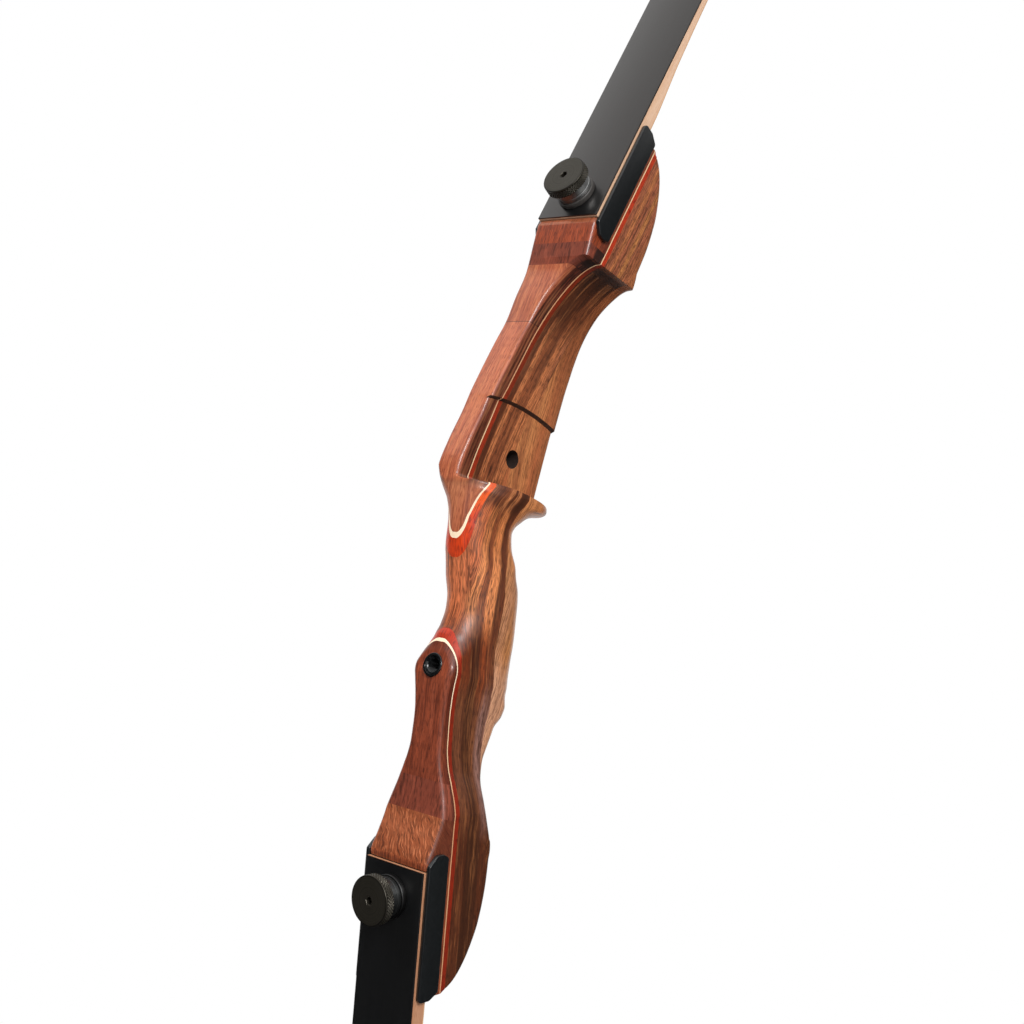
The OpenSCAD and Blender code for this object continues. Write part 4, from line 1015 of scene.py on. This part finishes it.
layUp, given = newTree("layUp", [
    ("Stations", "Int"), ("Glass Over", "Float"), ("Cores Over", "Float"), ("Wedges Over", "Float"),
    ("Glass Under", "Float"), ("Cores Under", "Float"), ("Wedges Under", "Float"), ("Rise", "Float"),
    ("Glass Thickness", "Float"), ("Finish", "Material")])
bar = add(layUp, "GeometryNodeMeshCube", (2, 2, 2), 2, 2, given["Stations"])
corner = add(layUp, "SeparateXYZ", add(layUp, "GeometryNodeInputPosition")).node.outputs
last = add(layUp, "Math SUBTRACT", given["Stations"], 1.0)
spot = add(layUp, "MapRange", corner[2], -1.0, 1.0, 0.0, last)
spot = add(layUp, "FunctionNodeFloatToInt", spot, rounding_mode="ROUND")
read = {}
for label in ("along", "halfWidth", "coreThick", "wedgeThick", "rise", "inwards"):
    kind = "FLOAT_VECTOR" if label == "inwards" else "FLOAT"
    stored = add(layUp, "GeometryNodeInputNamedAttribute", label, data_type=kind)
    read[label] = add(layUp, "GeometryNodeSampleIndex", given["Geometry"], stored, spot, data_type=kind)
position = add(layUp, "GeometryNodeInputPosition")
onLine = add(layUp, "GeometryNodeSampleIndex", given["Geometry"], position, spot, data_type="FLOAT_VECTOR")
depths = []
for word in ("Over", "Under"):
    d = add(layUp, "Math MULTIPLY", given["Glass " + word], given["Glass Thickness"])
    d = add(layUp, "Math MULTIPLY_ADD", given["Cores " + word], read["coreThick"], d)
    depths.append(add(layUp, "Math MULTIPLY_ADD", given["Wedges " + word], read["wedgeThick"], d))
lifted = add(layUp, "Math MULTIPLY", given["Rise"], read["rise"])
depths[0] = add(layUp, "Math SUBTRACT", depths[0], lifted)
depth = add(layUp, "MapRange", corner[1], -1.0, 1.0, *depths)
sideways = add(layUp, "Math MULTIPLY", corner[0], read["halfWidth"])
offset = add(layUp, "VectorMath SCALE", read["inwards"], depth)
offset = add(layUp, "VectorMath", add(layUp, "CombineXYZ", sideways), offset)
offset = add(layUp, "VectorMath SCALE", offset, 0.001)
grainAt = add(layUp, "CombineXYZ", depth, sideways, read["along"])
noted = add(layUp, "GeometryNodeStoreNamedAttribute", bar, None, "grain", grainAt, data_type="FLOAT_VECTOR",
            domain="POINT")
bent = add(layUp, "GeometryNodeSetPosition", noted, None, add(layUp, "VectorMath", onLine, offset))
endTree(layUp, bent, given["Finish"])


def softenEdges(obj, width, top):
    # rounds the long outer edges only: where a face on the back or the belly meets the limb's edge
    bm = bmesh.new()
    bm.from_mesh(obj.data)
    layer = bm.verts.layers.float_vector["grain"]
    chosen = []
    for e in bm.edges:
        a, b = (v[layer] for v in e.verts)
        faceNormals = [f.normal for f in e.link_faces]
        lengthwise = a[1] * b[1] > 0 and abs(a[2] - b[2]) > 0.5
        if lengthwise and len(faceNormals) == 2 and faceNormals[0].dot(faceNormals[1]) < 0.5:
            around = [v[layer][0] for f in e.link_faces for v in f.verts]
            if ((a[0] + b[0]) / 2 < (min(around) + max(around)) / 2) == top:
                chosen.append(e)
    bmesh.ops.bevel(bm, geom=chosen, offset=width / 1000, segments=3, profile=0.5, affect="EDGES")
    bm.to_mesh(obj.data)
    bm.free()


def relay(obj):
    # writes the grain attribute again from the shape, for points that cuts and bevels have added
    pts = coords(obj.data) * 1000
    ts = np.arange(0, limb["long"] + 0.5, 1.0)
    line = np.array([onBack(t) for t in ts])
    out = np.zeros((len(pts), 3))
    for k, (x, d, s) in enumerate(pts):
        i = int(np.argmin((line[:, 0] - d) ** 2 + (line[:, 1] - s) ** 2))
        a = limbTurn(ts[i])
        dd, ds = d - line[i, 0], s - line[i, 1]
        out[k] = (dd * cos(a) - ds * sin(a), x, ts[i] + dd * sin(a) + ds * cos(a))
    obj.data.attributes.remove(obj.data.attributes["grain"])
    storeGrain(obj, out)


turnIn = Matrix.Rotation(radians(-90), 4, "X")    # from along the limb to into it
shankR = bolt["thread"] / 2 - 0.07
nockAt = limb["long"] - limb["nockIn"]
tip = Matrix.Translation((0, *[v / 1000 for v in onBack(nockAt)])) @ Matrix.Rotation(-limbTurn(nockAt), 4, "X")
nockOut = (limb["tipWide"] / 2 + limb["nockOut"]) / 1000
nockTurn = Matrix.Rotation(radians(-limb["nockLean"]), 4, "X")
nocks = [rod("nock", limb["nock"], -15, 15, tip @ Matrix.Translation((x, 0, 0)) @ nockTurn, 24)
         for x in (-nockOut, nockOut)]
boltBore = rod("boltBore", shankR + limb["play"], -2, 12,
               Matrix.Translation((0, 0, bolt["in"] / 1000)) @ turnIn)
pinBore = rod("pinBore", bolt["pin"] / 2 + 0.1, pocketFloor - bolt["pinOut"] - 0.5, 12,
              Matrix.Translation((0, 0, bolt["pinIn"] / 1000)) @ turnIn, 32)
# how many glass, core and wedge strips lie above and below each strip, its end, its slot and its bores
limbStrips = {
    "limb_back_glass": ((0, 0, 0), (1, 0, 0), limb["long"], "black_fibreglass", [boltBore] + nocks),
    "limb_back_core": ((1, 0, 0), (1, 1, 0), limb["long"], "limb_maple", [boltBore] + nocks),
    "limb_wedge": ((1, 1, 0), (1, 1, 1), limb["wedgeEnd"], "limb_maple", [boltBore, pinBore]),
    "limb_belly_core": ((1, 1, 1), (1, 2, 1), limb["long"], "limb_maple", [boltBore, pinBore] + nocks),
    "limb_belly_glass": ((1, 2, 1), (2, 2, 1), limb["long"], "clear_fibreglass", [boltBore, pinBore] + nocks),
    "tip_overlay": ((0, 0, 0), (0, 0, 0), limb["long"], "black_plate", nocks),
}
rounded = {"limb_back_glass": limb["edge"], "limb_belly_glass": limb["edge"], "tip_overlay": limb["tipEdge"]}
for word, (over, below, until, slotName, cutters) in limbStrips.items():
    isTip = word == "tip_overlay"
    path = backPath(word, limb["long"] - limb["tipLong"] if isTip else limb["buttGap"], until,
                    limb["tipLong"] / 22 if isTip else limb["step"])
    values = {"Stations": len(path.data.vertices), "Glass Thickness": limb["glass"], "Rise": float(isTip),
              "Finish": finishes[slotName]}
    for end, counts in (("Over", over), ("Under", below)):
        for strip, count in zip(("Glass ", "Cores ", "Wedges "), counts):
            values[strip + end] = float(count)
    runTree(path, layUp, values)
    if word in rounded:
        softenEdges(path, rounded[word], word != "limb_belly_glass")
    cut(path, cutters)
    relay(path)
    for sign, end in ((1, "upper"), (-1, "lower")):
        obj = path if sign < 0 else linked(word, path.data.copy())
        obj.data.transform(pocketMatrix(sign))
        if sign < 0:
            obj.data.flip_normals()
        obj.name = end + "_" + word + "_strip"
        look = "warm_limb_maple" if sign < 0 and slotName == "limb_maple" else slotName
        finish(obj, end + "_" + word, end + "_limb", finishes[look], 35)
for obj in nocks + [boltBore, pinBore]:
    bpy.data.objects.remove(obj)
print("limbs laid up")


# turned parts
def arc(r, z, radius, start, end, steps=4):
    # points of a rounding round (r, z) from one angle to another, in degrees
    angles = [radians(start + (end - start) * i / steps) for i in range(steps + 1)]
    return [(r + radius * cos(a), z + radius * sin(a)) for a in angles]


def threadRings(radius, depth, start, end):
    # rings at the thread's pitch stand for the helix
    out, z, pitch = [], start, bolt["pitch"]
    while z + pitch <= end:
        out += [(radius - depth, z + 0.1 * pitch), (radius, z + 0.42 * pitch), (radius, z + 0.58 * pitch),
                (radius - depth, z + 0.9 * pitch)]
        z += pitch
    return out


def storeTurning(obj):
    # radius and height, from which the turning marks are drawn
    pts = coords(obj.data) * 1000
    storeGrain(obj, np.stack([np.hypot(pts[:, 0], pts[:, 1]), np.zeros(len(pts)), pts[:, 2]], 1))


def addTurned(name, profile, matrix, node, body, slotName, sides=96, cutters=(), closed=True, angle=30,
              look=None):
    obj = cut(lathe(name, profile, sides, closed), cutters)
    storeTurning(obj)
    obj.data.transform(matrix)
    return finish(obj, node, body, finishes[look or slotName], angle)


# diamond knurl: small pyramids in staggered rows round the rim, coarser than a real knurl so that they show
knurl, given = newTree("knurl", [
    ("Radius", "Float"), ("Around", "Int"), ("Rows", "Int"), ("First Row", "Float"), ("Pitch", "Float"),
    ("Height", "Float"), ("Finish", "Material")])
total = add(knurl, "Math MULTIPLY", given["Around"], given["Rows"])
index = add(knurl, "GeometryNodeInputIndex")
row = add(knurl, "Math FLOOR", add(knurl, "Math DIVIDE", index, given["Around"]))
column = add(knurl, "Math MODULO", index, given["Around"])
column = add(knurl, "Math MULTIPLY_ADD", row, 0.5, column)
turn = add(knurl, "Math DIVIDE", column, given["Around"])
turn = add(knurl, "Math MULTIPLY", turn, 2 * pi)
x, y = (add(knurl, "Math MULTIPLY", add(knurl, "Math", turn, operation=wave), given["Radius"])
        for wave in ("COSINE", "SINE"))
z = add(knurl, "Math MULTIPLY_ADD", row, given["Pitch"], given["First Row"])
spots = add(knurl, "GeometryNodeSetPosition", add(knurl, "GeometryNodePoints", total), None,
            add(knurl, "CombineXYZ", x, y, z))
pyramid = add(knurl, "GeometryNodeMeshCone", 4, None, None, 0.0, given["Pitch"], given["Height"])
facing = add(knurl, "FunctionNodeEulerToRotation", add(knurl, "CombineXYZ", 0.0, pi / 2, turn))
pyramids = add(knurl, "GeometryNodeInstanceOnPoints", spots, None, pyramid, None, None, facing)
endTree(knurl, pyramids, given["Finish"])

knob = {"edge": 0.5, "around": 48, "high": 0.5, "rows": 5, "lip": 1.1, "socket": 2.2, "socketDeep": 3.4,
        "neckIn": 2.5}
collar = {"foot": 0.4, "crown": 0.9, "groove": 0.25, "grooveUp": 2.2, "grooveWide": 0.7, "grooveSlope": 0.15}
washer = {"foot": 0.6, "crown": 0.8}
knobFoot = bolt["rubberThick"] + bolt["collarThick"]
knobLow, knobTop = knobFoot + bolt["neck"], knobFoot + bolt["neck"] + bolt["knobThick"]
lipR, lipFoot = bolt["knob"] / 2, knobTop - knob["lip"]
knobR, neckR, bore = lipR - knob["high"], bolt["collar"] / 2 - knob["neckIn"], shankR + limb["play"]
shankEnd = 4.5 - riser["limbThick"] - bolt["bushingLen"]
knobProfile = (
    [(0, shankEnd), (shankR - 1, shankEnd), (shankR - 0.4, shankEnd + 0.7)]
    + threadRings(shankR, 0.42, shankEnd + 0.7, 2.0) + [(shankR, 2.6), (shankR, knobFoot), (neckR, knobFoot)]
    + [(neckR, knobLow)] + arc(knobR - knob["edge"], knobLow + knob["edge"], knob["edge"], -90, 0)
    + [(knobR, lipFoot), (lipR, lipFoot + 0.3)]
    + arc(lipR - knob["edge"], knobTop - knob["edge"], knob["edge"], 0, 90)
    + [(r, knobTop) for r in (11.5, 9.5, 7.5, 5.5, 0)])
socketR, socketFoot = knob["socket"], knobTop - knob["socketDeep"]
socketProfile = [(0, socketFoot - 0.6), (socketR, socketFoot), (socketR, knobTop - 0.4),
                 (socketR + 0.5, knobTop + 0.1), (0, knobTop + 0.1)]
z0, z1, c = bolt["rubberThick"], bolt["rubberThick"] + collar["grooveUp"], bolt["collar"] / 2
foot = collar["foot"]
grooveR, slope, z2 = c - collar["groove"], collar["grooveSlope"], z1 + collar["grooveWide"]
collarProfile = (
    [(bore, z0), (c - foot, z0)] + arc(c - foot, z0 + foot, foot, -90, 0)[1:]
    + [(c, z1), (grooveR, z1 + slope), (grooveR, z2 - slope), (c, z2)]
    + arc(c - collar["crown"], knobFoot - collar["crown"], collar["crown"], 0, 90) + [(bore, knobFoot)])
w = bolt["rubber"] / 2
washerProfile = (
    [(bore, 0), (w - washer["foot"], 0)] + arc(w - washer["foot"], washer["foot"], washer["foot"], -90, 0)[1:]
    + arc(w - washer["crown"], z0 - washer["crown"], washer["crown"], 0, 90) + [(bore, z0)])
pitch = pi * bolt["knob"] / knob["around"] / 2000
rowsMiddle = (knobLow + 0.2 + lipFoot) / 2000
for sign, end in ((1, "upper"), (-1, "lower")):
    m = boltMatrix(sign)
    socket = lathe("socket", socketProfile, 6, closed=False)
    addTurned(end + "_knob", knobProfile, m, end + "_limb_bolt", end + "_bolt", "bronzed_knob", 128, [socket],
              closed=False)
    bpy.data.objects.remove(socket)
    rim = newPiece(end + "_knurl", [(0, 0, 0)], [])
    runTree(rim, knurl, {"Radius": (knobR + knob["high"] / 2) / 1000, "Around": knob["around"],
                         "Rows": knob["rows"], "First Row": rowsMiddle - (knob["rows"] - 1) / 2 * pitch,
                         "Pitch": pitch, "Height": knob["high"] / 1000, "Finish": finishes["bronzed_knob"]})
    storeTurning(rim)
    rim.data.transform(m)
    finish(rim, None, end + "_bolt", finishes["bronzed_knob"], 20)
    # the upper collar takes the lighter steel, the lower one the darker copy: painted light and shade
    addTurned(end + "_collar_ring", collarProfile, m, end + "_collar", end + "_collar", "steel",
              look="steel" if sign > 0 else "painted_shade_steel")
    # the upper washer takes the lighter copy of the rubber, the lower one the near-black copy: painted light
    # and shade
    addTurned(end + "_washer_ring", washerProfile, m, end + "_rubber_washer", end + "_limb", "rubber",
              look="painted_lit_rubber" if sign > 0 else "rubber")
print("bolts, collars and washers turned")

rimR, bodyR, tr, long = insert["rim"] / 2, insert["body"] / 2, insert["thread"] / 2, insert["length"]
edge, dish, mouth, rimLet = insert["edge"], insert["dish"], insert["mouth"], insert["rimLet"]
threads = [(tr if k % 4 in (1, 2) else tr + insert["threadDeep"], insert["threadFrom"] + k * bolt["pitch"] / 4)
           for k in range(4 * insert["turns"])]
insertProfile = (
    [(0, long), (bodyR, long), (bodyR, rimLet), (rimR, rimLet), (rimR, 0.2)]
    + arc(rimR - edge, -0.2, edge, 0, -90) + [(rimR - dish, -0.72)]
    + arc(tr + dish, -mouth, mouth, -90, -180) + [(tr + 0.5, 0.6)] + threads
    + [(tr, long - insert["end"]), (0, long - insert["end"])])
addTurned("stabiliser_insert", insertProfile, insertMatrix, "stabiliser_bushing", "riser", "black_steel",
          closed=False, angle=35)
for node in ("upper_limb_bushing", "lower_limb_bushing", "upper_locating_pin", "lower_locating_pin"):
    mesh = nodes[node].data
    mesh.materials.clear()
    mesh.materials.append(finishes["brass" if "bushing" in node else "steel"])
print("stabiliser insert made, hidden fittings dressed")

# studio
# the camera was solved from the photo's outlines, in metres
camera = {"place": (0.52998, -0.60119, -0.13328), "right": (0.75677, 0.60404, 0.24986),
          "down": (0.07493, 0.29956, -0.95113), "forward": (-0.64937, 0.73851, 0.18144), "lens": 49.236}
camData = bpy.data.cameras.new("camera")
camData.lens, camData.sensor_width = camera["lens"], 36
camObj = linked("camera", camData)
r, d, f = (Vector(camera[k]) for k in ("right", "down", "forward"))
camObj.matrix_world = Matrix.Translation(camera["place"]) @ Matrix((r, -d, -f)).transposed().to_4x4()
bpy.context.scene.camera = camObj

lamps = {  # place, aim, size, power
    "key softbox": ((-1.1, -1.15, 1.4), (0, 0, 0.1), 1.3, 42),
    "fill softbox": ((1.3, -1.05, 0.65), (0, 0, 0.05), 0.6, 32),
}
for name, (spot, aim, size, power) in lamps.items():
    lamp = bpy.data.lights.new(name, "AREA")
    lamp.size, lamp.energy = size, power
    obj = linked(name, lamp)
    obj.location = spot
    obj.rotation_euler = (Vector(aim) - Vector(spot)).to_track_quat("-Z", "Y").to_euler()
    obj.visible_glossy = name != "key softbox"    # a lacquered face would mirror it as a white patch

world = bpy.data.worlds.new("studio")
bpy.context.scene.world = world
world.use_nodes = True
sky = world.node_tree
sky.nodes.clear()
rays = add(sky, "LightPath").node.outputs
seen = add(sky, "Math MAXIMUM", rays["Is Camera Ray"], rays["Is Transmission Ray"])
seen = add(sky, "Math MAXIMUM", seen, rays["Is Glossy Ray"])
above = add(sky, "SeparateXYZ", add(sky, "TexCoord").node.outputs["Generated"]).node.outputs[2]
dome = {"from": -0.7, "to": 0.7, "low": 0.06, "high": 0.66}  # darker from below, so that undersides shade off
soft = add(sky, "Background", linear("#f4f4f6"), add(sky, "MapRange", above, *dome.values()))
white = add(sky, "Background", (1, 1, 1, 1), 1.0)
add(sky, "OutputWorld", add(sky, "MixShader", seen, soft, white))


def card(name, corners, colour, seenByCamera=False):
    # a studio card that the polished parts reflect
    obj = newPiece(name, corners, [[0, 1, 2, 3]])
    obj.data.materials.append(mottled(name + " paper", colour, colour, 0.9, 1000 / 6, bump=0.0))
    obj.visible_camera = obj.visible_shadow = obj.visible_diffuse = seenByCamera
    return obj


# black flags that the flat faces reflect, as in a photo studio, so that only the roundings shine white
flags = {"left flag": ((-0.65, -0.76), 2.0, 1.1), "front flag": ((0.65, -0.76), 0.95, 0.9),
         "right flag": ((0.65, 0.76), 2.0, 2.0)}  # way, half width, top
flagOut, flagFoot = 2.3, Vector((0, 0, 2.2))      # how far out they stand, and how far down they reach
for name, (way, half, top) in flags.items():
    c, t, top = Vector((*way, 0)) * flagOut, Vector((-way[1], way[0], 0)) * half, Vector((0, 0, top))
    card(name, [c - t - flagFoot, c + t - flagFoot, c + t + top, c - t + top], "#0c0c0c")
square = ((-1, -1), (1, -1), (1, 1), (-1, 1))
card("ground flag", [(x * 2.6, y * 2.6, -1.2) for x, y in square], "#0c0c0c")

# the floor keeps the shadow under the bow and runs out into the white background
floorZ, floorHalf, fadeFrom, fadeTo = -0.76, 0.8, 0.3, 0.75
floorCard = card("floor", [(x * floorHalf, y * floorHalf, floorZ) for x, y in square], "#f4f4f4", True)
floorCard.visible_glossy = False                  # the lower limb shows the ground flag instead
tree = floorCard.data.materials[0].node_tree
out = tree.nodes["Material Output"].inputs["Surface"]
far = add(tree, "VectorMath DISTANCE", add(tree, "TexCoord").node.outputs["Object"], (0, 0, floorZ))
far = add(tree, "MapRange", far, fadeFrom, fadeTo)
fade = add(tree, "Math MULTIPLY", far, add(tree, "LightPath").node.outputs["Is Camera Ray"])
glow = add(tree, "Emission", (1, 1, 1, 1), 1.0)
tree.links.new(add(tree, "MixShader", fade, out.links[0].from_socket, glow), out)

bpy.context.scene.view_settings.view_transform = "Standard"
print("studio set")
